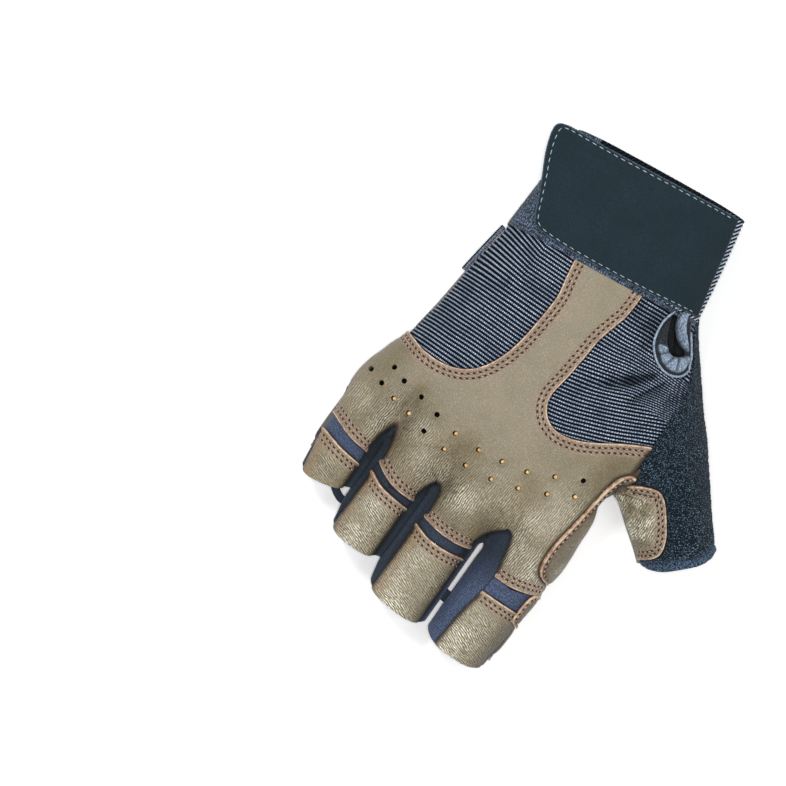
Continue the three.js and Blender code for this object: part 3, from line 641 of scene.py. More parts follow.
def make_skin(form, low, high, dense=()):
    """A skin net, denser across the narrow gaps between fingers."""
    axes = [np.arange(a, b, STEP) for a, b in zip(low, high)]
    for x in dense:
        outside = axes[0][np.abs(axes[0] - x) > GAP_REACH]
        inside = np.arange(x - GAP_REACH, x + GAP_REACH + 0.01, GAP_STEP)
        axes[0] = np.sort(np.append(outside, inside))
    co, quads = skin_net(form, axes)
    co, normal = relaxed(co, quads, form)
    tri = np.vstack([quads[:, [0, 1, 2]], quads[:, [0, 2, 3]]])
    return {"co": co, "normal": normal, "tri": tri}


def compact(mesh):
    """A mesh without the vertices that no triangle uses."""
    used = np.zeros(len(mesh["co"]), bool)
    used[mesh["tri"]] = True
    renumber = np.cumsum(used) - 1
    result = {key: value[used] for key, value in mesh.items() if key != "tri"}
    result["tri"] = renumber[mesh["tri"]]
    return result


def sides_of(tri):
    """The edges of triangles: all the first ones, all the second ones and all the third ones."""
    return np.vstack([tri[:, [0, 1]], tri[:, [1, 2]], tri[:, [2, 0]]])


def shared(edges, start):
    """Each edge once, and for every edge the number of the new vertex on it, from start on."""
    unique, where = np.unique(np.sort(edges, axis=1), axis=0, return_inverse=True)
    return unique, where.reshape(-1) + start


def cut(mesh, g):
    """The part of a mesh where g is negative, with new vertices exactly where g is 0."""
    g = np.where(np.abs(g) < 0.03, -0.03, g)
    tri = mesh["tri"]
    kept = g < 0
    count = kept[tri].sum(1)
    whole = tri[count == 3]
    pieces = []
    for wanted, lone in ((1, True), (2, False)):
        some = tri[count == wanted]
        turn = np.argmax(kept[some] == lone, axis=1)
        pieces.append(np.stack([some[np.arange(len(some)), (turn + k) % 3] for k in range(3)], 1))
    one, two = pieces
    crossed = np.vstack([one[:, [0, 1]], one[:, [0, 2]], two[:, [0, 1]], two[:, [0, 2]]])
    unique, where = shared(crossed, len(g))
    ga, gb = g[unique[:, 0]], g[unique[:, 1]]
    t = ga / (ga - gb)
    result = {}
    for key, value in mesh.items():
        if key == "tri":
            continue
        a, b = value[unique[:, 0]], value[unique[:, 1]]
        w = t[:, None] if value.ndim > 1 else t
        result[key] = np.concatenate([value, a + (b - a) * w])
    a1, b1, a2, b2 = np.split(where, np.cumsum([len(one), len(one), len(two)]))
    result["tri"] = np.vstack(
        [
            whole,
            np.column_stack([one[:, 0], a1, b1]),
            np.column_stack([a2, two[:, 1], two[:, 2]]),
            np.column_stack([a2, two[:, 2], b2]),
        ]
    )
    return compact(result)


def refined(mesh, form):
    """Each triangle in four, with the new vertices settled on the form."""
    tri = mesh["tri"]
    unique, where = shared(sides_of(tri), len(mesh["co"]))
    ab, bc, ca = np.split(where, 3)
    co, normal = settle(mesh["co"][unique].sum(1) / 2, form)
    return {
        "co": np.vstack([mesh["co"], co]),
        "normal": np.vstack([mesh["normal"], normal]),
        "tri": np.vstack(
            [
                np.column_stack([tri[:, 0], ab, ca]),
                np.column_stack([tri[:, 1], bc, ab]),
                np.column_stack([tri[:, 2], ca, bc]),
                np.column_stack([ab, bc, ca]),
            ]
        ),
    }


def boundary(tri):
    """The edges that only one triangle has, in the direction that it has them."""
    edges = sides_of(tri)
    size = tri.max() + 1
    key = edges[:, 0] * size + edges[:, 1]
    back = edges[:, 1] * size + edges[:, 0]
    return edges[~np.isin(key, back)]


def shell(mesh, height, base, floor=None):
    """A closed solid: the mesh raised by its heights, a rounded rim, and a face at base."""
    co, normal, tri = mesh["co"], mesh["normal"], mesh["tri"]
    n = len(co)
    rim = boundary(tri)
    edge = co[rim[:, 1]] - co[rim[:, 0]]
    away = np.cross(edge, (normal[rim[:, 0]] + normal[rim[:, 1]]) / 2)
    outward = np.zeros_like(co)
    for side in (0, 1):
        np.add.at(outward, rim[:, side], away)
    ids = np.unique(rim)
    outward = unit(outward[ids])
    top = co + normal * height[:, None]
    base = np.minimum(base, height - THINNEST)
    drop = RIM_SHARE * np.minimum(height[ids] - base[ids], RIM_LIMIT)
    first = top[ids] + outward * LIP * 0.7 - normal[ids] * (drop * 0.35)[:, None]
    second = top[ids] + outward * LIP - normal[ids] * drop[:, None]
    low = co + normal * base[:, None]
    rings = [top, first, second, low]
    starts = np.cumsum([0, n, len(ids), len(ids)])
    slot = np.zeros(n, int)
    slot[ids] = np.arange(len(ids))
    levels = [rim, slot[rim] + starts[1], slot[rim] + starts[2], rim + starts[3]]
    walls = []
    for upper, lower in zip(levels[:-1], levels[1:]):
        a, b = upper[:, 0], upper[:, 1]
        c, d = lower[:, 1], lower[:, 0]
        walls += [np.column_stack([b, a, d]), np.column_stack([b, d, c])]
    points = np.vstack(rings)
    if floor is not None:
        low = points[:, 2] < floor + SQUASH
        points[low, 2] = floor + SQUASH * np.exp((points[low, 2] - floor - SQUASH) / SQUASH)
    faces = np.vstack([tri, *walls, tri[:, ::-1] + starts[3]])
    inside = np.zeros(len(faces), bool)
    inside[-len(tri):] = True
    result = {"co": points, "tri": faces, "inside": inside}
    for key, value in mesh.items():
        if key not in ("co", "normal", "tri") and value.ndim == 1:
            result[key] = np.concatenate([value, value[ids], value[ids], value])
    return result


# Pieces
def place(co):
    """Points in the shared frame, in metres."""
    return (co - CENTRE) * 0.001


def piece(name, solid, look, node=None, lining=None):
    """A Blender object from a solid; its other values become attributes for the material."""
    mesh = bpy.data.meshes.new(name)
    co, tri = place(solid["co"]), solid["tri"]
    mesh.vertices.add(len(co))
    mesh.vertices.foreach_set("co", co.astype(np.float32).ravel())
    mesh.loops.add(tri.size)
    mesh.loops.foreach_set("vertex_index", tri.astype(np.int32).ravel())
    mesh.polygons.add(len(tri))
    mesh.polygons.foreach_set("loop_start", np.arange(0, tri.size, 3, dtype=np.int32))
    mesh.polygons.foreach_set("loop_total", np.full(len(tri), 3, np.int32))
    mesh.update(calc_edges=True)
    mesh.validate()
    mesh.polygons.foreach_set("use_smooth", np.ones(len(mesh.polygons), bool))
    for key, value in solid.items():
        if key in ("co", "tri", "inside", "normal"):
            continue
        attribute = mesh.attributes.new(key, "FLOAT", "POINT")
        attribute.data.foreach_set("value", value.astype(np.float32))
    mesh.materials.append(LOOKS[look])
    if lining and len(mesh.polygons) == len(tri):
        mesh.materials.append(LOOKS[lining])
        mesh.polygons.foreach_set("material_index", solid["inside"].astype(np.int32))
    thing = bpy.data.objects.new(name, mesh)
    bpy.context.scene.collection.objects.link(thing)
    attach(thing, "root")
    if node:
        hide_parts(node)
    return thing


def lined(name, solid, look, node):
    """A panel's piece, with the lining on its inner face."""
    return piece(name, solid, look, node, "lining")


# Outlines of the panels seen from above, drawn as the frame's are: each is a list of edges,
# and an edge of three points or more is a smooth curve.
SPINE_OUTER_EDGE = [
    [-25, 56], [-24, 45], [-22.6, 36], [-21.2, 28], [-21.8, 17], [-22.9, 7], [-25.2, -2],
    [-29.4, -10], [-35, -14.9], [-42, -17.3], [-50, -17.5], [-57, -15.7], [-70, -11],
]
SPINE_INNER_EDGE = [
    [41.2, 2], [36, -0.6], [30, -4], [22, -9.2], [15, -12.6], [8, -13.8], [2.6, -12],
    [-0.8, -8], [-1.9, -3], [-0.8, 5], [0.2, 15], [1, 24], [3, 32], [4.5, 39], [4.8, 56],
]
NOTCH = {
    "little_ring": [
        [-46.8, -61.5], [-46.2, -55], [-44.9, -49.6], [-43.6, -47], [-42.2, -50], [-41, -56],
        [-40.6, -61.8],
    ],
    "ring_middle": [
        [-21.5, -66.8], [-20.6, -61.5], [-19, -57.8], [-17.2, -56.4], [-15.6, -58], [-14.8, -62],
        [-14.4, -69],
    ],
    "middle_index": [
        [6.8, -69.2], [7.6, -64.5], [10, -60.2], [13, -57], [15.6, -56], [17, -58], [18.4, -63],
        [20.3, -72.3],
    ],
}
KNUCKLE_EDGE = {
    "little": [[-72, -55.5], [-65, -56.7], [-56, -60], [-46.8, -61.5]],
    "ring": [[-40.6, -61.8], [-35, -65], [-29, -66.6], [-21.5, -66.8]],
    "middle": [[-14.4, -69], [-8, -70.3], [0, -70.5], [6.8, -69.2]],
    "index": [[20.3, -72.3], [27, -72.2], [33, -70.9], [43, -67.5]],
}
BACK_PANEL = outline(
    SPINE_OUTER_EDGE,
    [[-70, -11], [-72, -55.5]],
    KNUCKLE_EDGE["little"],
    NOTCH["little_ring"],
    KNUCKLE_EDGE["ring"],
    NOTCH["ring_middle"],
    KNUCKLE_EDGE["middle"],
    NOTCH["middle_index"],
    KNUCKLE_EDGE["index"],
    [[43, -67.5], [43, -11], [41.2, -11]],
    SPINE_INNER_EDGE,
)
THUMB_ROOT_EDGE = [[25, 60], [31, 46], [35.8, 38.5], [39.5, 30], [41.2, 20]]
THUMB_BACK = outline(
    THUMB_ROOT_EDGE,
    [[41.2, 20], [41.2, -11], [38.8, -18.4], [38, -26]],
    [[38, -26], [66, -70], [REACH, -20], [60, 90]],
)
RIB_OUTER = np.array([[-80, -24], [-12, -24], [-12, 70], [-80, 70]], float)
RIB_INNER = outline(THUMB_ROOT_EDGE, [[41.2, 20], [41.2, -24]], [[-10, -24], [-10, 70]])
THUMB_PATCH_EDGE = [
    [42.8, -14.6], [47, -12.2], [52.6, -10.2], [56.6, -11.8], [61, -16.6], [65.4, -22.8],
    [67.3, -28.4], [66, -32.4], [61, -36.5],
]
THUMB_PATCH = outline(THUMB_PATCH_EDGE, [[61, -36.5], [58, -44]], [[34, -26], [39.6, -18.9]])
WEB_GUARD_EDGE = [
    [43.6, -11.2], [40.8, -11.4], [38.2, -15], [36.3, -22], [35, -31], [33.6, -40],
    [32.2, -50], [32.5, -58], [34.4, -62], [38, -63.5],
]
WEB_GUARD = outline(
    WEB_GUARD_EDGE,
    [[38, -63.5], [46, -63.5]],
    [[46, -36], [39.4, -18.9], [42.6, -14.9]],
)
INDEX_SIDE_EDGE = [[42, -68.8], [37.2, -69.6], [35.8, -73], [35.3, -79], [36, -83], [42, -85]]
INDEX_SIDE_PATCH = outline(INDEX_SIDE_EDGE)
STRIP_EDGE = {
    "little": [[-72, -62.5], [-65, -63.6], [-56, -65.8], [-46.4, -67]],
    "ring": [[-41.2, -66], [-35, -68.9], [-29, -70], [-21.6, -70.6]],
    "middle": [[-15.6, -73], [-9, -75], [-1, -75.2], [7.2, -74]],
    "index": [[19.8, -79.6], [27, -79.6], [33, -79.4], [43, -79.2]],
}
CAP_SIDES = {
    "little": [[[-72, -95], [-72, -63]], [[-46.4, -67], [-46, -72], [-45.6, -95]]],
    "ring": [[[-41.9, -110], [-41.4, -80], [-41.2, -66]], [[-21.6, -70.6], [-21.8, -110]]],
    "middle": [
        [[-15.6, -118], [-15.8, -95], [-15.6, -73]],
        [[7.2, -74], [7.6, -95], [7.2, -118]],
    ],
    "index": [[[15.6, -118], [17.4, -92], [19.8, -79.6]], [[43, -79.2], [43, -118]]],
}
THENAR_INNER = [
    [4, 56], [2.2, 36], [-0.8, 24], [-1.3, 14], [0.8, 6], [5, -2], [11.3, -9], [20.7, -15],
    [29, -18.2], [35, -19.4],
]
THENAR_OUTER = [
    [84, -20], [75, -9.8], [66, -1.5], [58, 8], [47, 17.5], [33.5, 31], [20, 56],
]
THENAR_PAD = outline(
    THENAR_INNER,
    [[35, -19.4], [36, -26]],
    [[62, -50], [REACH, -50]],
    [[REACH, -30], [84, -20]],
    THENAR_OUTER,
)
HEEL_INNER = [
    [-28, 56], [-29.2, 36], [-27.4, 27], [-27.2, 17], [-28.6, 10], [-32.4, 5.2], [-40, 0.8],
    [-47.5, -5], [-55, -13], [-59.2, -16.5],
]
HEEL_OUTER = [[-59.2, -16.5], [-57.9, -4], [-56.6, 15], [-54.6, 30], [-52.6, 56]]
HEEL_PAD = outline(HEEL_INNER, HEEL_OUTER)
PAD_SEAM = [[-54.6, -34.3], [-36.8, -36.7], [-16, -40.2], [19.5, -45]]
KNUCKLE_PAD_EDGE = [
    [-54.6, -34.3], [-56, -28], [-54.6, -21.5], [-51.4, -18.2], [-46.6, -20.4], [-41, -25.8],
    [-35, -25.6], [-28.4, -23.2], [-22, -25.6], [-15, -29], [-8, -28], [-1.2, -25.6],
    [6, -27.6], [14, -28.6], [25, -26], [30, -28.4], [31.2, -35], [29.6, -40.2], [19.5, -45],
]
KNUCKLE_PAD = outline(KNUCKLE_PAD_EDGE, PAD_SEAM[::-1])
FINGER_LEATHER_EDGE = [
    [38.9, -77], [30, -77.2], [22, -75.5], [19.8, -70], [19.4, -64], [22.4, -58], [19.5, -54.2],
    [12.5, -53.2], [5.5, -54.6], [3.8, -58.5], [5.6, -64], [6, -70], [5, -75.6], [-3.5, -77.4],
    [-11.2, -76], [-12.6, -70], [-11.6, -63], [-9.4, -58.6], [-11.6, -55], [-17, -54],
    [-22.4, -55.2], [-24.3, -59.5], [-22.6, -66], [-23.4, -71.6], [-30, -73.4], [-36.6, -72.4],
    [-38, -66], [-37, -58], [-34.4, -52], [-36.4, -47.4], [-41.8, -45], [-47.2, -47.2],
    [-48.6, -52.4], [-46.6, -58], [-46.4, -65], [-49, -70], [-56, -71.8], [-65.4, -72],
]
FINGER_BASE_LEATHER = outline(
    [[x, y - 0.45] for x, y in PAD_SEAM],
    [[19.5, -45.4], [30, -43.4], [33, -47], [33, -52], [36, -64], [38.9, -64]],
    FINGER_LEATHER_EDGE,
    [[-65.4, -72], [-66.6, -52], [-64, -35.6], [-55, -34.7]],
)
FINGER_PATCHES = {
    "index": outline(
        [[45, -80.5], [38.6, -80.4], [30, -80], [22, -80.8], [19.8, -86], [20, -95], [23, -99.6],
         [32, -100.6], [37.8, -100.4], [45, -100.4]],
    ),
    "middle": outline(
        [[-4, -80.6], [-11, -81.6], [-13.6, -86], [-13.8, -96], [-11.5, -101], [-4, -102.2],
         [3, -101], [5.4, -96], [5.4, -86], [3, -81.6], [-4, -80.6]],
    ),
    "ring": outline(
        [[-30.6, -75.2], [-36.6, -76], [-38.8, -80], [-38.6, -86], [-36, -89.6], [-30.6, -90.4],
         [-25.4, -89.6], [-22.8, -86], [-22.6, -80], [-25, -76], [-30.6, -75.2]],
    ),
}
VENT_OUTER = outline(
    [[21.5, 60], [18.6, 50], [17, 43], [18.6, 35], [23.6, 29.8], [29.4, 28.2], [34.4, 30.4],
     [35.6, 35.4], [32, 41.6], [26.5, 49.5], [24, 60]],
)
VENT_GAP = outline(
    [[17.4, 52], [19.2, 46.5], [20.8, 42.2], [22.6, 38.6], [25, 35.9], [27.2, 35], [29.6, 35.7],
     [31.4, 37.4], [32.4, 38.9], [30.4, 39.8], [28.3, 40.2], [26.2, 41.2], [23.8, 43.3], [22, 46],
     [21, 49], [20.6, 52]],
)
VENT_SHADE = outline([[15, 37.4], [17, 50], [21.6, 44], [24, 37.5], [19.5, 36.4]])
VENT_CREASES = [
    (23.8, 37.2, 19.6, 35.6, 1.1, 0.6),
    (25.4, 35.6, 21.8, 31.4, 1.1, 0.6),
    (27.8, 34.8, 26.8, 30.6, 1.0, 0.55),
    (29.8, 35.4, 31.2, 31.2, 1.1, 0.6),
    (31.2, 37.4, 34.2, 34.6, 0.7, 0.6),
    (23.0, 45.6, 27.6, 40.6, 0.5, 0.6),
]
STRAP_EDGES = {
    "free_end": [[-46.5, 50], [-51, 61], [-55.5, 71], [-57.8, 79], [-57.2, 82.4], [-53.6, 83.7]],
    "top": [[-53.6, 83.7], [-35, 85.2], [-10, 88.2], [17, 91.6]],
    "fixed_end": [[17, 91.6], [21.6, 70], [25.4, 52.2]],
    "bottom": [[25.4, 52.2], [5, 48.7], [-18, 45.8], [-34, 44.7], [-43, 45.4], [-46.5, 50]],
}
WRIST_STRAP = outline(*STRAP_EDGES.values())
PULL_TAB_EDGE = [
    [-28, 44.2], [-26, 62], [-23.6, 79.5], [-22, 84.6], [-17.4, 87.6], [-8, 88.4], [-1.6, 87.6],
    [1, 83.6], [2.2, 76], [2.6, 60], [2.4, 44.8],
]
PULL_TAB = outline(PULL_TAB_EDGE, [[2.4, 44.8], [-12, 43.4], [-28, 44.2]])
CUFF_JOIN = {"outer": -24.8, "inner": -13.0}
CUFF_START = -1.5
KNIT_EDGE = 0.6
SIDE_TAB = {"side": -30.0, "front": 17.0, "back": 39.0, "low": 12.3, "high": 16.0}
PULL_LOOPS = {
    "index": ([[6.2, -89.2], [12, -89.8], [18, -89.4]], 5.0),
    "little": ([[-52, -74.4], [-49.5, -79.2], [-44, -82.2], [-40.4, -79.6]], 3.2),
}
RIBBON_PROFILE = [
    (-0.5, 0.3), (-0.42, 0.0), (0.42, 0.0), (0.5, 0.3), (0.5, 0.7), (0.42, 1.0), (-0.42, 1.0),
    (-0.5, 0.7),
]

# Air holes; the first of the back's have no golden backing in sight
KNUCKLE_HOLES = [
    [-56.3, -29], [-50.4, -31.1], [-41.6, -32.4], [-32.9, -34.4], [-63.3, -34.5], [-56.9, -36.6],
    [-33.4, -42.4], [26.9, -23.2], [-49.9, -38.7], [-42.1, -40.2], [-23.4, -43.5], [-23.2, -36.2],
    [-12.4, -36.3], [-2.7, -34.9], [7.3, -32.7], [17.1, -28.1], [-13.1, -43.9], [-2.3, -42.7],
    [8, -39.6], [18.4, -35.2], [27.6, -30.1],
]
DARK_HOLES = 8
DOME_RINGS = ((0.86, -1.15), (0.84, -0.7), (0.6, -0.48), (0.2, -0.4))
PALM_HOLES = [
    [-18.5, 34], [-2.6, 34], [-17.4, 24], [-4.9, 24.5], [-17.9, 14], [-6.4, 14], [-22.6, 4],
    [-4.4, 3], [-32.6, -3], [1.4, -7], [-40.9, -9], [8.2, -15], [-49.3, -14],
]

# Sewn channels of the pads
THENAR_CHANNELS = [
    [[8.7, 56], [8.7, 42], [8.5, 26], [8.7, 11], [10, 3]],
    [[32, 29], [20, 21], [7, 13]],
    [[34.3, 25], [21, 15], [8.2, 6]],
    [[46.9, 14], [41, -1], [36.5, -16]],
    [[52, 12], [44, -3], [38.5, -17]],
    [[65.7, -3], [59, -13], [52.6, -22]],
    [[69.8, -5.5], [63, -15], [57.3, -24]],
]
HEEL_CHANNELS = [
    [[-32.5, 56], [-33, 36], [-31.6, 26], [-31.6, 15], [-36, 9], [-46, 2], [-56, -8]],
    [[-51, 34], [-34, 20]],
]
KNUCKLE_CHANNELS = [
    [[-52, -31.2], [-36, -33], [-16, -36.2], [6, -39], [20, -40.6], [28, -37]],
]


# Regions: a signed distance on the surface, negative inside
def area(shape, low=-REACH, high=REACH):
    """Inside an outline seen from above, between two heights."""
    return lambda p: np.maximum.reduce([plan(p, shape), low - p[:, 2], p[:, 2] - high])


def less(region, *uppers, lap=0.0):
    """A region without the ones over it, which lap over its edge."""
    return lambda p: np.maximum.reduce([region(p), *(-(upper(p) + lap) for upper in uppers)])


def both(first, second):
    """Where both regions are."""
    return lambda p: np.maximum(first(p), second(p))


def strip_outline(finger):
    return outline(KNUCKLE_EDGE[finger], STRIP_EDGE[finger][::-1])


def cap_outline(finger):
    left, right = CAP_SIDES[finger]
    return outline(STRIP_EDGE[finger], right, left)


def holes(places, low=-REACH, high=REACH):
    """Inside the air holes: negative within a hole's radius."""

    def g(p):
        d = np.full(len(p), NO_HOLE)
        for x, y in places:
            d = np.minimum(d, np.hypot(p[:, 0] - x, p[:, 1] - y) - HOLE_RADIUS)
        return np.where((p[:, 2] > low) & (p[:, 2] < high), d, NO_HOLE)

    return g


def zone(left, right, front, back, top=REACH, bottom=-REACH):
    """Inside a box."""

    def g(p):
        sides = [left - p[:, 0], p[:, 0] - right, front - p[:, 1], p[:, 1] - back]
        return np.maximum.reduce([*sides, bottom - p[:, 2], p[:, 2] - top])

    return g


def cuff_line(p):
    """How far a point lies past the line where the skin runs under the cuff."""
    return cuff_loft.local(p)[1] - CUFF_COVER


def mouths(p):
    """How far a point lies past the mouth of its finger or thumb."""
    x, y = p[:, 0], p[:, 1]
    d = np.full(len(p), NO_MOUTH)
    for name, (left, right) in FINGER_WALLS.items():
        own = (x > left) & (x <= min(right, THUMB_MOUTH_BEYOND)) & (y < FINGER_MOUTHS_BELOW)
        d[own] = finger_lofts[name].tip(p[own], TIP_SKEW[name])
    own = x > THUMB_MOUTH_BEYOND
    d[own] = thumb_loft.tip(p[own], TIP_SKEW["thumb"])
    return d


thenar = area(THENAR_PAD, high=THUMB_SEAM)
guard = less(area(WEB_GUARD, low=FLOOR + 1), thenar)
thumb_patch = less(area(THUMB_PATCH, low=THUMB_SEAM), guard)
back_leather = less(area(BACK_PANEL, low=SEAM), guard)
strips = {name: area(strip_outline(name), low=SEAM) for name in FINGERS}
caps = {name: area(cap_outline(name), low=SEAM) for name in FINGERS}
thumb_back = less(area(THUMB_BACK), thenar, thumb_patch, guard, back_leather)
vent = area(VENT_OUTER)
heel = less(area(HEEL_PAD, high=SEAM), thenar)
knuckle = less(area(KNUCKLE_PAD, high=SEAM), thenar, guard)
finger_leather = less(area(FINGER_BASE_LEATHER, high=SEAM), thenar, guard)
patches = {name: area(shape, high=PATCH_TOP) for name, shape in FINGER_PATCHES.items()}


# Stitches: short threads along rows, laid on a panel's outer face
def inset_rows(shape, edges, insets):
    """Curves inside an outline, at distances from some of its edges, as runs of points."""
    rows = []
    for edge in edges:
        points = sampled(edge)
        side = sideways(points)
        if np.median(plan(points + side * 0.6, shape)) > 0:
            side = -side
        for inset in insets:
            moved = points + side * inset
            away = nearest(moved, [drawn(edge)])[0]
            rows += runs(moved, away > inset - 0.12)
    return rows


def runs(points, keep):
    """The unbroken runs of points that are kept."""
    result = []
    start = None
    for i, ok in enumerate(np.append(keep, False)):
        if ok and start is None:
            start = i
        if not ok and start is not None:
            if i - start > SHORTEST_RUN:
                result.append(points[start:i])
            start = None
    return result


def laid(points, tree, region, below):
    """Runs of places and normals where points seen from above meet a panel's outer face."""
    z, way = (-SKY, 1.0) if below else (SKY, -1.0)
    found, normals, keep = [], [], []
    for x, y in points:
        hit, normal, _, _ = tree.ray_cast((x, y, z), (0, 0, way))
        ok = hit is not None and abs(normal[2]) > STEEPEST
        keep.append(ok)
        found.append(tuple(hit) if ok else (x, y, 0))
        normals.append(tuple(normal) if ok else (0, 0, 1))
    found, normals = np.array(found), np.array(normals)
    keep = np.array(keep) & (region(found) < -ROW_MARGIN) & (found[:, 2] > 0.1)
    jumps = np.linalg.norm(np.diff(found, axis=0, prepend=found[:1]), axis=1)
    keep &= jumps < LONGEST_JUMP
    return list(zip(runs(found, keep), runs(normals, keep)))


def around(middle, side, up, radius, sides):
    """Rings of points round the middles."""
    turns = 2 * math.pi * np.arange(sides) / sides
    return [middle + (side * math.cos(turn) + up * math.sin(turn)) * radius for turn in turns]


def ring_faces(n, m):
    """Triangles over n rings of m points, with a flat face at each end."""
    last = (n - 1) * m
    tri = []
    for start in range(0, last, m):
        for k in range(m):
            a, b = start + k, start + (k + 1) % m
            tri += [[a, b, b + m], [a, b + m, a + m]]
    for k in range(1, m - 1):
        tri += [[0, k + 1, k], [last, last + k, last + k + 1]]
    return np.array(tri)[:, ::-1]


def closed_rings(rings):
    """A solid from rings of points."""
    return {"co": rings.reshape(-1, 3), "tri": ring_faces(*rings.shape[:2])}


def thread(ends_a, ends_b, normal, radius, sink, proud):
    """Small threads from a to b, proud in the middle and sunk at their ends."""
    along = unit(ends_b - ends_a)
    side = unit(np.cross(along, normal))
    up = np.cross(side, along)
    rings = []
    for t, size in THREAD_SECTIONS:
        lift = 0.8 * proud if 0 < t < 1 else -sink
        middle = ends_a + (ends_b - ends_a) * t + up * lift
        rings += around(middle, side, up, radius * size, THREAD_SIDES)
    co = np.stack(rings, 1)
    co[..., 2] = np.maximum(co[..., 2], 0.02)
    starts = np.arange(len(co)) * co.shape[1]
    tri = ring_faces(len(THREAD_SECTIONS), THREAD_SIDES)[None] + starts[:, None, None]
    return {"co": co.reshape(-1, 3), "tri": tri.reshape(-1, 3)}


def row_of_stitches(places, normals, start, pitch, length, slant, radius, sink, proud):
    """Threads at an even pitch along a run of places."""
    along = along_points(places)
    starts = np.arange(start, along[-1] - length, pitch)
    if not len(starts):
        return None
    a, b = read_at(starts, along, places), read_at(starts + length, along, places)
    n = unit(read_at(starts + length / 2, along, normals))
    side = unit(np.cross(b - a, n))
    return thread(a - side * slant, b + side * slant, n, radius, sink, proud)


def joined(solids):
    """Many small solids in one mesh."""
    solids = [solid for solid in solids if solid is not None]
    counts = np.cumsum([0] + [len(solid["co"]) for solid in solids])
    return {
        "co": np.vstack([solid["co"] for solid in solids]),
        "tri": np.vstack([solid["tri"] + start for solid, start in zip(solids, counts)]),
    }


def outer_tree(solid):
    """A panel's outer faces, to lay stitches and cords on."""
    outer = solid["tri"][~solid["inside"]]
    return BVHTree.FromPolygons(solid["co"].tolist(), outer.tolist())


# Materials
def srgb(r, g, b):
    """A colour given as a screen shows it, in linear light."""
    return tuple(((c / 255 + 0.055) / 1.055) ** 2.4 if c > 10 else c / 3295 for c in (r, g, b)) + (1.0,)


class Look:
    """A material built node by node; texture coordinates are in millimetres."""

    def __init__(self, name):
        self.material = bpy.data.materials.new(name)
        self.material.use_nodes = True
        tree = self.material.node_tree
        self.nodes, self.links = tree.nodes, tree.links
        self.nodes.clear()
        output = self.nodes.new("ShaderNodeOutputMaterial")
        self.shader = self.nodes.new("ShaderNodeBsdfPrincipled")
        self.links.new(self.shader.outputs[0], output.inputs[0])
        place = self.add("TexCoord", {}, "Object")
        self.mm = self.add("VectorMath", {0: place, "Scale": 1000.0}, operation="SCALE")
        self.normal = None

    def add(self, kind, inputs, output=0, **settings):
        """One output of a new node."""
        node = self.nodes.new("ShaderNode" + kind)
        for key, value in settings.items():
            setattr(node, key, value)
        for key, value in inputs.items():
            self.put(node.inputs[key], value)
        return node.outputs[output]

    def put(self, socket, value):
        """Links another node's output to a socket, or sets a constant on it."""
        if isinstance(value, bpy.types.NodeSocket):
            self.links.new(value, socket)
        else:
            socket.default_value = value

    def set(self, **values):
        for key, value in values.items():
            self.put(self.shader.inputs[key.replace("_", " ")], value)

    def math(self, operation, *values):
        return self.add("Math", dict(enumerate(values)), operation=operation)

    def times(self, *values):
        return self.math("MULTIPLY", *values)

    def times_plus(self, *values):
        return self.math("MULTIPLY_ADD", *values)

    def value(self, name):
        """One of the values that a panel's mesh holds."""
        return self.add("Attribute", {}, "Fac", attribute_name=name)

    def stretch(self, x, y, z, turn=0.0):
        """Coordinates in a frame turned about the vertical, scaled along each of its axes."""
        inputs = {"Vector": self.mm, "Rotation": (0, 0, turn), "Scale": (1 / x, 1 / y, 1 / z)}
        return self.add("Mapping", inputs, vector_type="TEXTURE")

    def noise(self, scale, detail, rough, place=None):
        inputs = {"Vector": place or self.mm, "Scale": scale, "Detail": detail, "Roughness": rough}
        return self.add("TexNoise", inputs)

    def cells(self, scale, place=None, random=1.0):
        inputs = {"Vector": place or self.mm, "Scale": scale, "Randomness": random}
        return self.add("TexVoronoi", inputs, "Distance")

    def step(self, value, low, high, to_low=0.0, to_high=1.0):
        """A smooth ramp between two values, level before and after it."""
        inputs = {"Value": value, "From Min": low, "From Max": high, "To Min": to_low, "To Max": to_high}
        return self.add("MapRange", inputs, interpolation_type="SMOOTHSTEP")

    def creases(self, turn, period, broken):
        """Heights of fine wavy creases that run along a turned direction, broken into short pieces."""
        place = self.stretch(1.0, 1.0, 1.0, turn)
        phase = self.math("DIVIDE", self.add("SeparateXYZ", {0: place}, "Y"), period)
        phase = self.times_plus(self.noise(0.13, 2.0, 0.5), 3.0, phase)
        phase = self.times_plus(self.noise(0.55, 1.0, 0.5), 0.9, phase)
        wave = self.math("SINE", self.times(phase, 2 * math.pi))
        pieces = self.noise(1.0, 1.0, 0.5, self.stretch(0.75, 1.7, 1.2, turn))
        pieces = self.times(self.math("SUBTRACT", pieces, 0.5), 5.0 * broken)
        return self.times_plus(wave, 1.0 - broken, pieces)

    def groove(self, value, at, width):
        """1 on a line where the value is at, falling to 0 at a width to each side."""
        off = self.math("ABSOLUTE", self.math("SUBTRACT", value, at))
        return self.step(off, 0.0, width, 1.0, 0.0)

    def mix(self, factor, a, b):
        inputs = {"Factor": factor, 6: a, 7: b}
        return self.add("Mix", inputs, 2, data_type="RGBA")

    def bump(self, height, distance, strength):
        """Adds fine heights, up to a distance in millimetres, to the normals."""
        inputs = {"Height": height, "Distance": distance * 0.001, "Strength": strength}
        if self.normal:
            inputs["Normal"] = self.normal
        self.normal = self.add("Bump", inputs)

    def done(self):
        if self.normal:
            self.put(self.shader.inputs["Normal"], self.normal)
        return self.material


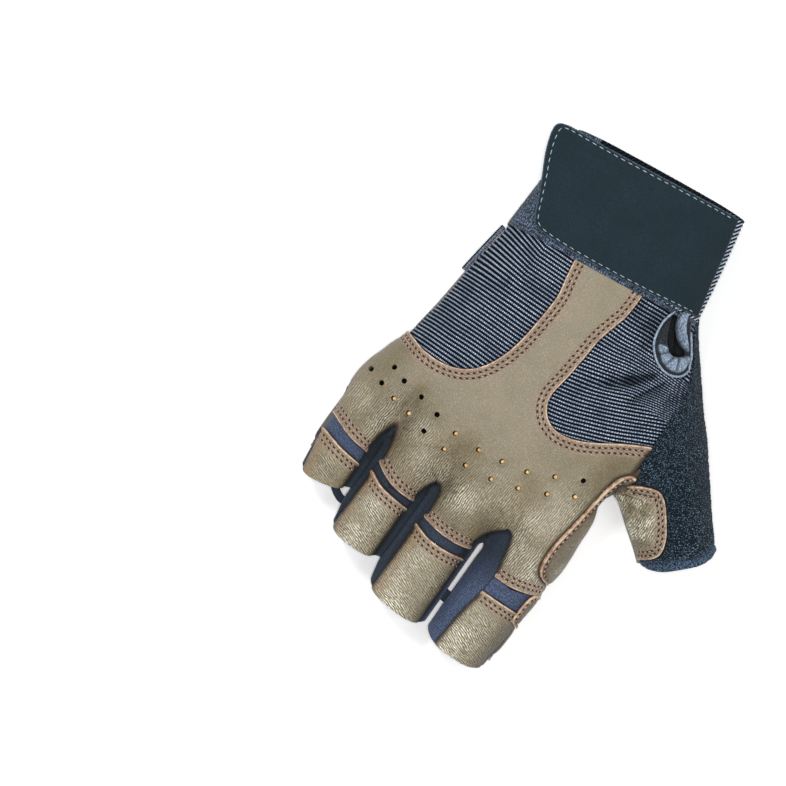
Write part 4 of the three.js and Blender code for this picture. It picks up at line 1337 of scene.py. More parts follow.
KHAKI = srgb(101, 91, 67)
KHAKI_WARM = srgb(118, 103, 75)
# A paler base for the caps and the thumb patch, painted sheen
KHAKI_PAINTED_SHEEN = srgb(116, 108, 84)
# A darker base for the web guard and the index side patch, painted shade of the side turned from the
# light
KHAKI_PAINTED_SHADE = srgb(82, 75, 52)
# Pale tone of the grain, and of the painted glints on the creases' crests
PALE_GRAIN_AND_GLINT = srgb(240, 236, 220)
# Dark tone of the mottle and grain, and of the painted shade in the creases
DARK_GRAIN_AND_CREASE_SHADE = srgb(50, 42, 29)
SEAM_SHADE = srgb(40, 30, 20)
RAW_EDGE = srgb(214, 188, 158)
RAW_EDGE_WORN = srgb(158, 112, 82)
MAUVE = srgb(196, 166, 156)


def leather(name, degrees, rows, base, period, broken, depth, tint):
    """Soft leather in short glossy creases, with a raw edge at its hems and painted shade at its side
    seams.
    """
    look = Look(name)
    hem, quilt, crinkle = look.value("hem"), look.value("quilt"), look.value("crinkle")
    gloss, shade, edge = look.value("gloss"), look.value("shade"), look.value("edge")
    broad = look.noise(0.06, 4.0, 0.6)
    mottle = look.noise(0.4, 4.0, 0.6)
    crease = look.creases(math.radians(degrees), period, broken)
    grain = look.noise(2.3, 1.0, 0.5)
    crest = look.step(crease, 0.05, 0.75)
    crack = look.step(crease, -0.75, -0.1, 1.0, 0.0)
    tone = look.mix(look.step(broad, 0.35, 0.7, 0.0, 0.45), base, KHAKI_WARM)
    tone = look.mix(look.step(mottle, 0.5, 0.8, 0.0, 0.1), tone, DARK_GRAIN_AND_CREASE_SHADE)
    tone = look.mix(look.step(grain, 0.35, 0.5, 0.12, 0.0), tone, DARK_GRAIN_AND_CREASE_SHADE)
    tone = look.mix(look.step(grain, 0.52, 0.68, 0.0, 0.08), tone, PALE_GRAIN_AND_GLINT)
    # Painted sheen: a paler base where the leather is glossy
    tone = look.mix(look.times(gloss, 0.3), tone, srgb(170, 162, 138))
    # Painted shade in the creases' valleys, strongest where the leather crinkles
    crease_shade = look.times(crack, look.times(crinkle, 0.65))
    tone = look.mix(crease_shade, tone, DARK_GRAIN_AND_CREASE_SHADE)
    # Painted glints: the creases' crests lightened where the leather is glossy
    painted_glint = look.times(crest, look.times_plus(gloss, 0.64, 0.02))
    tone = look.mix(painted_glint, tone, PALE_GRAIN_AND_GLINT)
    band = look.step(look.math("ADD", hem, look.step(mottle, 0.3, 0.7, -0.5, 0.5)), 3.9, 4.9, 1.0, 0.0)
    pucker = look.step(look.noise(1.7, 2.0, 0.6), 0.4, 0.58)
    band_tone = look.mix(pucker, srgb(104, 80, 60), MAUVE)
    tone = look.mix(look.times(band, tint), tone, band_tone)
    sewn = look.groove(quilt, 0.0, 0.75)
    for at in rows:
        sewn = look.math("MAXIMUM", sewn, look.groove(hem, at, 0.55))
    tone = look.mix(look.times(sewn, 0.4), tone, srgb(84, 60, 46))
    # Painted shade: a browner tone on each cap's left side
    tone = look.mix(look.value("warm"), tone, look.mix(grain, srgb(96, 66, 42), srgb(176, 140, 104)))
    # Painted shade: the shaded spots and folds, and the turned side seams where the leather curves away
    tone = look.mix(shade, tone, SEAM_SHADE)
    turned = look.times(look.step(edge, 0.0, 2.6, 0.9, 0.0), look.step(hem, 0.9, 2.4))
    tone = look.mix(turned, tone, SEAM_SHADE)
    worn = look.mix(look.step(look.noise(0.35, 3.0, 0.6), 0.42, 0.6), RAW_EDGE, RAW_EDGE_WORN)
    worn = look.mix(look.step(look.noise(1.4, 2.0, 0.5), 0.4, 0.7, 0.0, 0.5), worn, MAUVE)
    tone = look.mix(look.step(hem, 0.15, 0.45, 0.85, 0.0), tone, worn)
    rough = look.step(gloss, 0.0, 1.0, 0.52, 0.34)
    look.set(Base_Color=tone, Roughness=rough, Specular_IOR_Level=0.5)
    look.bump(look.times(crease, look.times_plus(crinkle, 1.0, 0.03)), depth, 1.0)
    look.bump(grain, 0.12, 0.6)
    look.bump(look.times(pucker, band), 0.16, 0.7)
    look.bump(look.math("SUBTRACT", 1.0, sewn), 0.3, 0.8)
    return look.done()


def knit(name, base, light, scale, sheen, fine_bump=0.12):
    """Stretch cloth: rows of small loops, with a soft sheen."""
    look = Look(name)
    broad = look.noise(0.09, 3.0, 0.6)
    loops = look.cells(scale, look.stretch(1.0, 0.62, 1.0), random=0.5)
    yarn = look.noise(scale * 1.7, 2.0, 0.6)
    tone = look.mix(look.step(loops, 0.12, 0.5), light, base)
    tone = look.mix(look.step(yarn, 0.45, 0.7, 0.0, 0.6), tone, light)
    tone = look.mix(look.step(broad, 0.35, 0.7, 0.0, 0.35), tone, base)
    # Painted shade: darker where dim, and where the cloth runs under a panel's edge
    tone = look.mix(look.value("dim"), tone, look.mix(yarn, srgb(9, 13, 17), srgb(32, 42, 50)))
    tone = look.mix(look.value("tucked"), tone, srgb(8, 10, 14))
    look.set(Base_Color=tone, Roughness=look.step(yarn, 0.3, 0.7, 0.9, 0.72))
    look.set(Specular_IOR_Level=0.25, Sheen_Weight=sheen, Sheen_Roughness=0.45)
    look.bump(look.math("SUBTRACT", 1.0, loops), fine_bump, 0.9)
    look.bump(yarn, 0.06, 0.6)
    return look.done()


def ribbed(name, loops_a_mm, bright, dim, dark):
    """Ribs with a row of small pale loops along each, and painted shade in the valleys between them."""
    look = Look(name)
    rib = look.value("rib")
    crest = look.math("COSINE", look.times(rib, 2 * math.pi))
    crest = look.step(crest, -0.2, 0.85)
    row = look.times(look.math("FLOOR", look.math("ADD", rib, 0.5)), 0.5)
    along = look.times_plus(look.value("along"), loops_a_mm, row)
    along = look.times_plus(look.noise(0.7, 2.0, 0.5), 1.6, along)
    loop = look.step(look.math("SINE", look.times(along, 2 * math.pi)), -0.6, 0.9, 0.08, 1.0)
    yarn = look.noise(2.2, 3.0, 0.65)
    broad = look.noise(0.1, 3.0, 0.6)
    tone = look.mix(look.times(loop, look.step(yarn, 0.34, 0.62, 0.3, 1.0)), dim, bright)
    tone = look.mix(look.step(broad, 0.35, 0.75, 0.0, 0.5), tone, dim)
    # Painted shade in the valleys between the ribs
    tone = look.mix(crest, dark, tone)
    # Painted shade where the cloth runs under a panel and where it is dim; on the twill the dim band
    # darkens its far rim
    tone = look.mix(look.math("MAXIMUM", look.value("tucked"), look.value("dim")), tone, dark)
    tone = look.mix(look.value("calm"), tone, look.mix(crest, srgb(30, 38, 50), srgb(72, 86, 106)))
    look.set(Base_Color=tone, Roughness=0.8, Specular_IOR_Level=0.06)
    look.bump(look.times(loop, crest), 0.2, 0.8)
    look.bump(yarn, 0.06, 0.6)
    return look.done()


def towelling(name):
    """Dark looped cloth with pale speckles, smoother and paler at the thumb's rim."""
    look = Look(name)
    loops = look.cells(1.75)
    fuzz = look.noise(2.0, 3.0, 0.7)
    broad = look.noise(0.08, 3.0, 0.6)
    tone = look.mix(look.step(loops, 0.1, 0.5), srgb(122, 150, 174), srgb(6, 18, 24))
    tone = look.mix(look.step(fuzz, 0.42, 0.56, 0.92, 0.0), tone, srgb(4, 11, 16))
    tone = look.mix(look.step(broad, 0.35, 0.7, 0.1, 0.45), tone, srgb(8, 25, 36))
    rim_tone = look.mix(look.step(fuzz, 0.44, 0.62), srgb(7, 16, 30), srgb(104, 128, 158))
    tone = look.mix(look.value("rim"), tone, rim_tone)
    # Painted shade where the cloth runs under a panel
    tone = look.mix(look.value("tucked"), tone, srgb(8, 10, 14))
    look.set(Base_Color=tone, Roughness=0.95, Specular_IOR_Level=0.12)
    look.set(Sheen_Weight=0.04, Sheen_Roughness=0.6)
    look.bump(look.math("SUBTRACT", 1.0, loops), 0.4, 0.9)
    look.bump(fuzz, 0.3, 0.8)
    return look.done()


def brushed(name, base, light, sheen=0.1, scale=1.6, rim_tone=None):
    """Suede or brushed loop cloth: short soft fibres."""
    look = Look(name)
    nap = look.noise(scale, 5.0, 0.7)
    broad = look.noise(0.07, 4.0, 0.65)
    tone = look.mix(look.step(nap, 0.34, 0.7), base, light)
    tone = look.mix(look.step(broad, 0.35, 0.7, 0.0, 0.45), tone, base)
    if rim_tone:
        weave = look.step(look.noise(2.6, 2.0, 0.6), 0.42, 0.6, 0.0, 0.6)
        rim = look.times(weave, look.step(look.value("edge"), 0.3, 0.6, 1.0, 0.0))
        tone = look.mix(look.step(look.value("edge"), 0.5, 1.0, 0.6, 0.0), tone, base)
        tone = look.mix(rim, tone, rim_tone)
    look.set(Base_Color=tone, Roughness=0.92, Specular_IOR_Level=0.18)
    look.set(Sheen_Weight=sheen, Sheen_Roughness=0.5)
    look.bump(nap, 0.16, 0.8)
    return look.done()


def satin(name):
    """Shiny gathered cloth, darker where its shade value is low."""
    look = Look(name)
    streak = look.step(look.noise(1.6, 4.0, 0.65), 0.36, 0.66)
    bright = look.mix(streak, srgb(70, 86, 106), srgb(150, 168, 186))
    dark = look.mix(streak, srgb(6, 9, 12), srgb(34, 43, 50))
    tone = look.mix(look.value("shade"), dark, bright)
    rough = look.mix(streak, (0.6,) * 4, (0.42,) * 4)
    look.set(Base_Color=tone, Roughness=rough, Specular_IOR_Level=0.2, Sheen_Weight=0.1)
    look.bump(streak, 0.12, 0.7)
    return look.done()


def yarn_look(name, dark, light):
    """Thread, or the inside of a hole, in two mottled tones."""
    look = Look(name)
    ply = look.noise(3.0, 3.0, 0.6)
    tone = look.mix(look.step(ply, 0.35, 0.7), dark, light)
    look.set(Base_Color=tone, Roughness=0.7, Specular_IOR_Level=0.3)
    look.bump(ply, 0.08, 0.7)
    return look.done()


# The direction of each leather's creases in degrees, its sewn rows, its tone, the creases'
# period, how broken they are and how deep, and how mauve the leather is along its hems
LEATHERS = {
    "leather_back": (86, HEM_ROWS, KHAKI, 0.85, 0.4, 0.16, 0.3),
    "leather_cap": (-20, HEM_ROWS, KHAKI_PAINTED_SHEEN, 0.8, 0.42, 0.2, 0.3),
    "leather_palm": (30, PALM_ROW, KHAKI, 0.9, 0.85, 0.1, 0.3),
    "leather_palm_edge": (30, PALM_ROWS, KHAKI, 0.9, 0.85, 0.1, 0.3),
    "leather_thumb": (-88, THUMB_HEM_ROWS, KHAKI_PAINTED_SHEEN, 0.9, 0.55, 0.2, 0.3),
    "leather_guard": (60, GUARD_ROW, KHAKI_PAINTED_SHADE, 0.95, 0.85, 0.12, 0.12),
}
LOOKS = {name: leather(name, *values) for name, values in LEATHERS.items()}
LOOKS |= {
    "rib": ribbed("rib_cloth", 1.15, srgb(208, 221, 238), srgb(60, 76, 100), srgb(6, 11, 17)),
    "twill": ribbed("cuff_twill", 1.1, srgb(240, 246, 250), srgb(140, 160, 180), srgb(6, 10, 15)),
    "stretch": knit("stretch_cloth", srgb(45, 56, 78), srgb(87, 100, 126), 1.6, 0.06),
    "terry": towelling("terry_cloth"),
    "suede": brushed("suede", srgb(36, 45, 50), srgb(58, 70, 76)),
    "knit": knit("cuff_knit", srgb(9, 14, 22), srgb(104, 124, 148), 1.25, 0.03, 0.3),
    "loop": brushed("strap_loop", srgb(18, 31, 37), srgb(31, 45, 52), 0.0, 2.4, srgb(96, 112, 130)),
    "satin": satin("vent_satin"),
    "lining": knit("lining", srgb(20, 26, 31), srgb(40, 48, 56), 1.4, 0.02, 0.1),
    "thread": yarn_look("thread_tan", srgb(122, 94, 74), srgb(200, 172, 150)),
    # Dark pits: painted shade in the needle holes
    "pit": yarn_look("stitch_hole", srgb(14, 8, 8), srgb(34, 20, 18)),
    "thread_light": yarn_look("thread_light", srgb(112, 124, 134), srgb(188, 198, 206)),
    "piping": yarn_look("vent_piping", srgb(64, 80, 98), srgb(172, 188, 206)),
    "tab_weave": knit("side_tab_weave", srgb(34, 44, 62), srgb(150, 162, 180), 2.0, 0.05, 0.1),
    "tab": knit("side_tab_cloth", srgb(12, 14, 18), srgb(30, 34, 42), 2.0, 0.05, 0.05),
    "gold": yarn_look("hole_backing", srgb(168, 122, 66), srgb(236, 206, 150)),
}


# Building the pieces
def clear_of_islands(mesh):
    """Without the parts of a mesh that have only a few triangles."""
    label = np.arange(len(mesh["co"]))
    tri = mesh["tri"]
    while True:
        low = label[tri].min(1)
        before = label.copy()
        for k in range(3):
            np.minimum.at(label, tri[:, k], low)
        label = label[label]
        if np.array_equal(before, label):
            break
    owner = label[tri[:, 0]]
    large = np.bincount(owner, minlength=len(label)) >= LEAST_TRIANGLES
    return compact({**mesh, "tri": tri[large[owner]]})


def signed_channels(points, lines):
    """Distance to the nearest of the sewn lines, with a sign for its side."""
    away, side = nearest(points, [drawn(line) for line in lines])
    return np.clip(away * side, -QUILT_REACH, QUILT_REACH)


def sew(made, solid, rows, region, below=False, kinds=STITCHES):
    """Adds each kind of stitch along rows on a panel, from runs seen from above or below."""
    tree = outer_tree(solid)
    for row in rows:
        for places, normals in laid(row, tree, region, below):
            for kind, sizes in kinds.items():
                made.setdefault(kind, []).append(row_of_stitches(places, normals, **sizes))


def panel(
    skin, region, layer, relief=None, fine=False, hems=(), channels=(), floor=None,
    form=hand_form, whole=None,
):
    """A closed panel cut from a skin, with the values that its material reads."""
    top, base = LAYERS[layer]
    mesh = clear_of_islands(cut(skin, region(skin["co"])))
    if fine:
        mesh = refined(mesh, form)
    p = mesh["co"]
    mesh["edge"] = np.clip(-(whole or region)(p), 0, EDGE_REACH)
    mesh["hem"] = np.full(len(p), EDGE_REACH)
    if hems:
        mesh["hem"] = np.clip(nearest(p, [drawn(line) for line in hems])[0], 0, EDGE_REACH)
    mesh["quilt"] = signed_channels(p, channels) if channels else np.full(len(p), QUILT_REACH)
    height = np.full(len(p), top)
    if relief:
        height = height + relief(mesh)
    return shell(mesh, height, base, floor)


def sewn_drop(mesh, rows):
    """How deeply the rows of stitches lie, at their middles 1."""
    return sum(bump(mesh["hem"] - at, 0.7) for at in rows)


def hem_relief(mesh, rows):
    """Stitched rows pull the leather down, and edges without stitches are turned under."""
    hem = mesh["hem"]
    turned_under = 0.75 * bump(mesh["edge"], 0.9) * held(hem - 0.8)
    between = 0.12 * bump(hem - sum(rows) / len(rows), 1.2)
    return between - 0.26 * sewn_drop(mesh, rows) - turned_under


# Reliefs. Folds: both ends of a line, depth and width
BACK_FOLDS = [
    (-43.6, -46, -43.0, -30, 0.9, 2.2),
    (-17.2, -55, -17.0, -38, 0.8, 2.4),
    (15.6, -57, 15.0, -45, 0.5, 2.2),
    (-38, -52, -33, -44, 0.3, 1.4),
    (-24, -54, -29, -45, 0.3, 1.4),
    (-11, -58, -8, -46, 0.3, 1.5),
    (24, -58, 22, -44, 0.35, 1.6),
    (34, -12, 40, -20, 0.4, 2.0),
]
RIB_FOLDS = [
    (28.5, 24.6, 18.5, 17.6, 2.0, 1.7),
    (21, 19.2, 11.5, 11.2, 1.3, 2.0),
    (17, 44, 17.5, 30, 0.9, 2.2),
    (12, 32, 4, 27, 0.4, 1.6),
    (40, 16, 34, 4, 0.4, 2.4),
]
# Spots of painted shade on the ribs: centre, half width, half length and strength
RIB_SHADES = [
    (13.5, 39, 4, 6, 0.55),
    (16.5, 33, 3, 6, 0.4),
    (5.5, 43, 3, 6, 0.4),
    (38, 21, 5, 9, 0.5),
    (20, 27, 9, 2.5, 0.3),
]
PLEAT = (19.5, 7.0, 30.6, 25.4)
THUMB_PATCH_FOLDS = [
    (41, -17.5, 54, -12.8, 1.5, 0.9),
    (42.5, -19.8, 50, -16.8, 1.7, 0.9),
    (46, -22, 56, -20, 0.6, 1.2),
]


def beside_line(p, ax, ay, bx, by):
    """How far along a straight line points lie, as a share of it, and how far to its side."""
    d = np.array([bx - ax, by - ay])
    length = math.hypot(*d)
    rel = p[:, :2] - (ax, ay)
    return rel @ d / length**2, (rel[:, 0] * d[1] - rel[:, 1] * d[0]) / length


def folds(p, table, sway=0.9):
    """Valleys along straight lines, each fading towards its ends."""
    wave = uneven(p, 2 * sway, 7.0, 31)
    total = np.zeros(len(p))
    for *line, depth, width in table:
        t, off = beside_line(p, *line)
        total -= depth * bump(off + wave, width) * held(np.minimum(t + 0.15, 1.15 - t) / 0.3)
    return total


SLIT_TIPS = ((-44.5, -47.4), (-16.3, -56.9), (15.7, -56.0))
GATHER_ANGLES = (20, 46, 70, 92, 116, 144)


def gathers():
    """Short fine folds that fan out from the leather's slits between the fingers."""
    rows = []
    for x, y in SLIT_TIPS:
        for at, lean in enumerate(GATHER_ANGLES):
            c, s = math.cos(math.radians(lean)), math.sin(math.radians(lean))
            near, far = 3.6 - (at % 2), 7 + 3 * (at % 2)
            rows.append((x + near * c, y + near * s, x + far * c, y + far * s, 0.3, 0.5))
    return rows


GATHERS = gathers()

# Where the back's leather creases: centre, reach and strength
CRINKLES = [
    (-43.6, -48, 17, 1.0),
    (-17.2, -56, 19, 1.0),
    (15, -58, 17, 1.0),
    (30, -66, 12, 0.7),
    (-58, -50, 14, 0.5),
    (-32, -58, 10, 0.8),
    (-4, -62, 12, 0.8),
]

# Spots of gloss with painted glints and sheen, and spots of painted shade: centre, half width, half
# length and strength
GLOSSES = [
    (-49.6, -48, 3.4, 11, 1.0),
    (-25, -53.5, 8, 7, 1.0),
    (-6.5, -55, 6.5, 6, 0.85),
    (21, -60, 7, 9, 0.9),
    (30, -62, 9, 9, 0.9),
    (-60, -44, 5, 8, 0.5),
    (30, -42, 10, 15, 0.5),
    (4, -47, 11, 8, 0.5),
    (21, -48, 8, 8, 0.6),
    (-33, -44, 9, 7, 0.4),
]
SHADES = [
    (-40.2, -46, 2.6, 9, 0.42),
    (-13.5, -55.5, 3.6, 5, 0.42),
    (-44, -36, 5, 5, 0.2),
    (36, -52, 4, 12, 0.25),
]
# How strongly each cap shows gloss with painted glints, and how much painted shade darkens each finger's
# strip
CAP_SHINE = {"little": 0.25, "ring": 0.85, "middle": 1.15, "index": 1.0}
STRIP_DIM = {"little": 0.1, "ring": 0.8, "middle": 0.7, "index": 0.0}


def spots(p, table):
    """Soft oval spots on the back, each with its own strength."""
    total = np.zeros(len(p))
    for x, y, wide, long, most in table:
        across, along = (p[:, 0] - x) / wide, (p[:, 1] - y) / long
        total = np.maximum(total, most * np.exp(-(across**2) - along**2))
    return total


def crinkled(p):
    """How strongly the leather creases: most between the knuckles."""
    amount = np.full(len(p), 0.04)
    for x, y, reach, most in CRINKLES:
        amount = np.maximum(amount, most * bump(np.hypot(p[:, 0] - x, p[:, 1] - y), reach))
    side = np.clip((SEAM + 10 - p[:, 2]) / 12, 0, 0.6)
    return held(np.maximum(amount, side) * (0.7 + 0.6 * noise(p, 9, 4)))


def back_relief(mesh):
    """The knuckles' creases, gloss with painted glints, painted shade, folds, the gathers at the slits,
    and dimpled holes.
    """
    p = mesh["co"]
    patchy = held(2.2 * noise(p, 7, 8) - 0.4)
    gloss = held(spots(p, GLOSSES) * (0.55 + 0.6 * patchy))
    gathered = folds(p, GATHERS, 0.8)
    mesh["crinkle"] = np.maximum(crinkled(p), 0.9 * gloss)
    mesh["gloss"] = gloss
    mesh["shade"] = held(spots(p, SHADES) - 0.7 * gathered)
    soft = uneven(p, 0.8, 15, 1) + uneven(p, 0.35, 6, 2) + gathered + folds(p, BACK_FOLDS)
    fine = uneven(p, 0.3, (1.5, 5, 2.5), 3) * mesh["crinkle"]
    dimples = 0.3 * bump(holes(KNUCKLE_HOLES, low=SEAM)(p), 0.5)
    return hem_relief(mesh, HEM_ROWS) + soft + fine + dimples


def cap_relief(name):
    """Creases across the finger, with gloss and painted glints along a band left of its middle, and
    painted shade at its right and a browner painted shade at its left.
    """

    def relief(mesh):
        p = mesh["co"]
        u, v = finger_lofts[name].local(p)
        left, right = finger_lofts[name].row(v)[:2]
        side = (u - left) / (right - left)
        patchy = np.clip(1.8 * noise(p, 8, 7), 0.3, 1)
        fade = np.clip(mesh["hem"] / 6 - 0.3, 0.1, 1)
        mesh["gloss"] = CAP_SHINE[name] * (0.35 + 0.95 * bump(side - 0.42, 0.2)) * patchy * fade
        mesh["crinkle"] = (0.45 + 0.5 * patchy) * fade
        mesh["shade"] = 0.85 * held((side - 0.74) / 0.24) + 0.1 * held((0.2 - side) / 0.2)
        # Painted shade: a browner tone along the cap's left side
        mesh["warm"] = 0.45 * held((0.32 - side) / 0.2) * held(0.4 + 1.2 * noise(p, 4, 9))
        across = uneven(p, 0.3, (4.5, 1.6, 4.0), 5) + uneven(p, 0.5, 8, 6)
        return hem_relief(mesh, HEM_ROWS) + across

    return relief


def tuck(mesh, uppers, dip=0.35, reach=1.4):
    """Cloth dips where it runs under the edge of the panel over it, and is darkened there with painted
    shade.
    """
    g = np.minimum.reduce([upper(mesh["co"]) for upper in uppers])
    mesh["tucked"] = 0.85 * (1 - held(g / 1.1))
    return -dip * (1 - held(g / reach)) ** 2


def outer_rib(p):
    """Ribs level across the hand, that climb towards its edge beside the cuff."""
    climb = 0.3 * np.clip(p[:, 0] + 36, -18, 0) * held((p[:, 1] - 18) / 26)
    return (p[:, 1] + uneven(p, 0.7, (11, 16, 12), 12) + climb) / RIB_PITCH


def inner_rib(p):
    """Ribs level beside the cuff, that fan out from the vent and turn up towards the thumb."""
    x, y = p[:, 0], p[:, 1]
    climb = 0.25 * (x - 2) + 0.005 * np.clip(x - 10, 0, 40) ** 2
    sway = uneven(p, 0.8, (10, 16, 12), 13) + 0.3 * np.sin(x / 7 + 1)
    return (y - climb * held((30 - y) / 17) + sway) / RIB_PITCH


def pleat(p):
    """A roll of cloth that ends in a sharp step down, with a shadow beside it."""
    t, off = beside_line(p, *PLEAT)
    off = off + uneven(p, 0.8, 8, 33)
    fade = held(np.minimum(t / 0.5, (1.08 - t) / 0.12))
    roll = 0.8 * bump(off + 1.6, 1.4)
    fall = 1.7 * held(off / 0.5) * np.exp(-np.clip(off, 0, None) / 3.5)
    return fade * (roll - fall)


def rib_relief(coordinate, uppers, table=(), extra=None):
    """Ribs over soft waves and folds, with painted shade in the folds and shade spots, tucked under the
    panels over them.
    """

    def relief(mesh):
        p = mesh["co"]
        mesh["rib"], mesh["along"] = coordinate(p), p[:, 0] + p[:, 2]
        ribs = 0.42 * np.cos(2 * math.pi * mesh["rib"])
        deep = folds(p, table) + (extra(p) if extra else 0)
        # Painted shade in the folds and at the rib shade spots
        mesh["dim"] = np.maximum(np.clip(-0.5 * deep, 0, 0.8), spots(p, RIB_SHADES))
        return ribs + uneven(p, 1.1, (14, 9, 12), 11) + deep + tuck(mesh, uppers)

    return relief


def terry_relief(mesh):
    """Towelling loops over soft waves, with a roll at the thumb's mouth."""
    p = mesh["co"]
    loops = uneven(p, 0.45, 0.75, 21) + uneven(p, 0.12, 1.7, 22)
    from_mouth = -thumb_loft.tip(p, TIP_SKEW["thumb"])
    mesh["rim"] = np.clip((5 - from_mouth) / 5, 0, 0.6)
    roll = 0.35 * bump(from_mouth - 0.8, 0.9) - 0.4 * bump(from_mouth - 2.4, 0.6)
    under = tuck(mesh, (thenar, thumb_patch, guard, back_leather), 0.9, 1.6)
    return loops + uneven(p, 0.7, 14, 23) + roll + under


def patch_relief(rows, crinkle=0.6, gloss=0.3, table=()):
    """A leather patch with sewn rows, its own strength of creases and of gloss with painted glints, and
    folds.
    """

    def relief(mesh):
        p = mesh["co"]
        inner = np.clip((mesh["hem"] - 3) / 3, 0.2, 1)
        mesh["crinkle"] = held(crinkle + uneven(p, 0.6, 5, 26))
        mesh["gloss"] = gloss * inner * held(2.4 * noise(p, 5, 27) - 0.6)
        return hem_relief(mesh, rows) + folds(p, table) + uneven(p, 0.4, 6, 25)

    return relief


def pad_relief(puff, rows, soft):
    """A padded panel: flat to its edge stitches, then swelling between the sewn channels."""

    def relief(mesh):
        p = mesh["co"]
        mesh["crinkle"] = held(0.3 + 0.7 * (noise(p, 6, 42) - 0.3))
        # Gloss, with painted glints on the pads' creases
        mesh["gloss"] = 0.22 * held(2.4 * noise(p, 7, 43) - 0.7)
        inner = np.clip(mesh["hem"] - rows[-1], 0, None)
        swell = 1 - np.exp(-((inner / 2.2) ** 1.5))
        channel = 1 - np.exp(-((mesh["quilt"] / 1.7) ** 2))
        height = (puff * channel + uneven(p, soft, 7, 41)) * swell - 0.3 * sewn_drop(mesh, rows)
        low = held((SEAM - 1.5 - p[:, 2]) / 5)
        return height * low - 1.5 * (1 - low)

    return relief


def sleeve_relief(name, uppers):
    """The cloth walls between fingers swell until they touch, with painted shade darkest in their gaps.
    """

    def short_of_mouth(p, finger, length):
        return held(-finger_lofts[finger].tip(p, TIP_SKEW[finger]) / length)

    def relief(mesh):
        p = mesh["co"]
        x, y, z = p.T
        away, near = np.full(len(p), OUTSIDE), np.zeros(len(p))
        from_gap = np.abs(x - 10)
        alone = held((from_gap - 4) / 2) * short_of_mouth(p, name, 9)
        for field, other in zip(FIELDS, FINGERS):
            if other == name:
                continue
            off = field(p)
            beside = short_of_mouth(p, other, 1.2)
            away = np.minimum(away, off * (1 - 0.5 * beside))
            near = np.maximum(near, held((3.4 - off) / 1.2) * np.maximum(beside, alone))
        open_side = x > 0
        near *= np.where(open_side, held((y + 66) / 3), 1)
        swell = np.clip(away - 0.05, -0.6, 1.2) + 0.6
        # Painted shade: walls turned one way darker than the other, and the open gap darker towards the
        # knuckles
        shut = np.where(mesh["normal"][:, 0] > 0, 0.95, 0.8)
        dark = 0.8 * held((y + 82) / 16)
        mesh["dim"] = np.where(open_side, dark, shut) * held((z - 4) / 6)
        loose = uneven(p, 0.4, (6, 11, 9), 80) + 0.5 * open_side * held((6 - from_gap) / 2)
        return swell * near + loose * (1 - near) + tuck(mesh, uppers, 0.2)

    return relief


def cloth_relief(soft, seed, uppers, dim=0.0):
    """Softly waved cloth, tucked under the panels over it."""

    def relief(mesh):
        p = mesh["co"]
        mesh["dim"] = np.full(len(p), dim)
        return uneven(p, soft, (6, 11, 9), seed) + tuck(mesh, uppers, 0.3)

    return relief


# Assembly
def backing(places, tree):
    """A small golden dome in each air hole, towards its lower side."""
    made = []
    for x, y in places:
        hit = tree.ray_cast((x, y, SKY), (0, 0, -1.0))[0]
        if hit is None:
            continue
        rings = []
        for radius, lift in DOME_RINGS:
            middle = np.array([x + 0.38, y + 0.12, hit[2] + lift])
            rings.append(around(middle, *np.eye(3)[:2], radius, ROUND_SIDES))
        made.append(closed_rings(np.array(rings)))
    return joined(made)


def build_back(skin, made):
    hems = [SPINE_OUTER_EDGE, SPINE_INNER_EDGE, *KNUCKLE_EDGE.values()]
    region = less(back_leather, holes(KNUCKLE_HOLES, low=SEAM))
    back = panel(skin, region, "leather", back_relief, hems=hems, whole=back_leather)
    lined("back_leather", back, "leather_back", "back_panel")
    tree = outer_tree(panel(skin, back_leather, "leather"))
    piece("hole_backing", backing(KNUCKLE_HOLES[DARK_HOLES:], tree), "gold")
    sew(made, back, inset_rows(BACK_PANEL, hems, HEM_ROWS), back_leather)
    for name in FINGERS:
        hems = [STRIP_EDGE[name]]
        cap = panel(skin, caps[name], "leather", cap_relief(name), hems=hems)
        lined(name + "_cap", cap, "leather_cap", "cap_" + name)
        sew(made, cap, inset_rows(cap_outline(name), hems, HEM_ROWS), caps[name])
        region = less(strips[name], back_leather, caps[name], lap=LAP)
        relief = cloth_relief(0.3, 60, (back_leather, caps[name]), STRIP_DIM[name])
        strip = panel(skin, region, "stretch", relief)
        lined(name + "_strip", strip, "stretch", "strip_" + name)


def build_ribs(skin):
    region = less(area(RIB_OUTER, low=SEAM), back_leather, lap=LAP)
    solid = panel(skin, region, "ribs", rib_relief(outer_rib, (back_leather,)), fine=True)
    lined("outer_rib_cloth", solid, "rib", "rib_panel_outer")
    uppers = (back_leather, thumb_back, thumb_patch, guard)
    region = less(less(area(RIB_INNER, low=SEAM), *uppers, lap=LAP), vent, lap=SHORT_LAP)
    relief = rib_relief(inner_rib, (back_leather, thumb_back, vent), RIB_FOLDS, pleat)
    solid = panel(skin, region, "ribs", relief, fine=True)
    lined("inner_rib_cloth", solid, "rib", "rib_panel_inner")


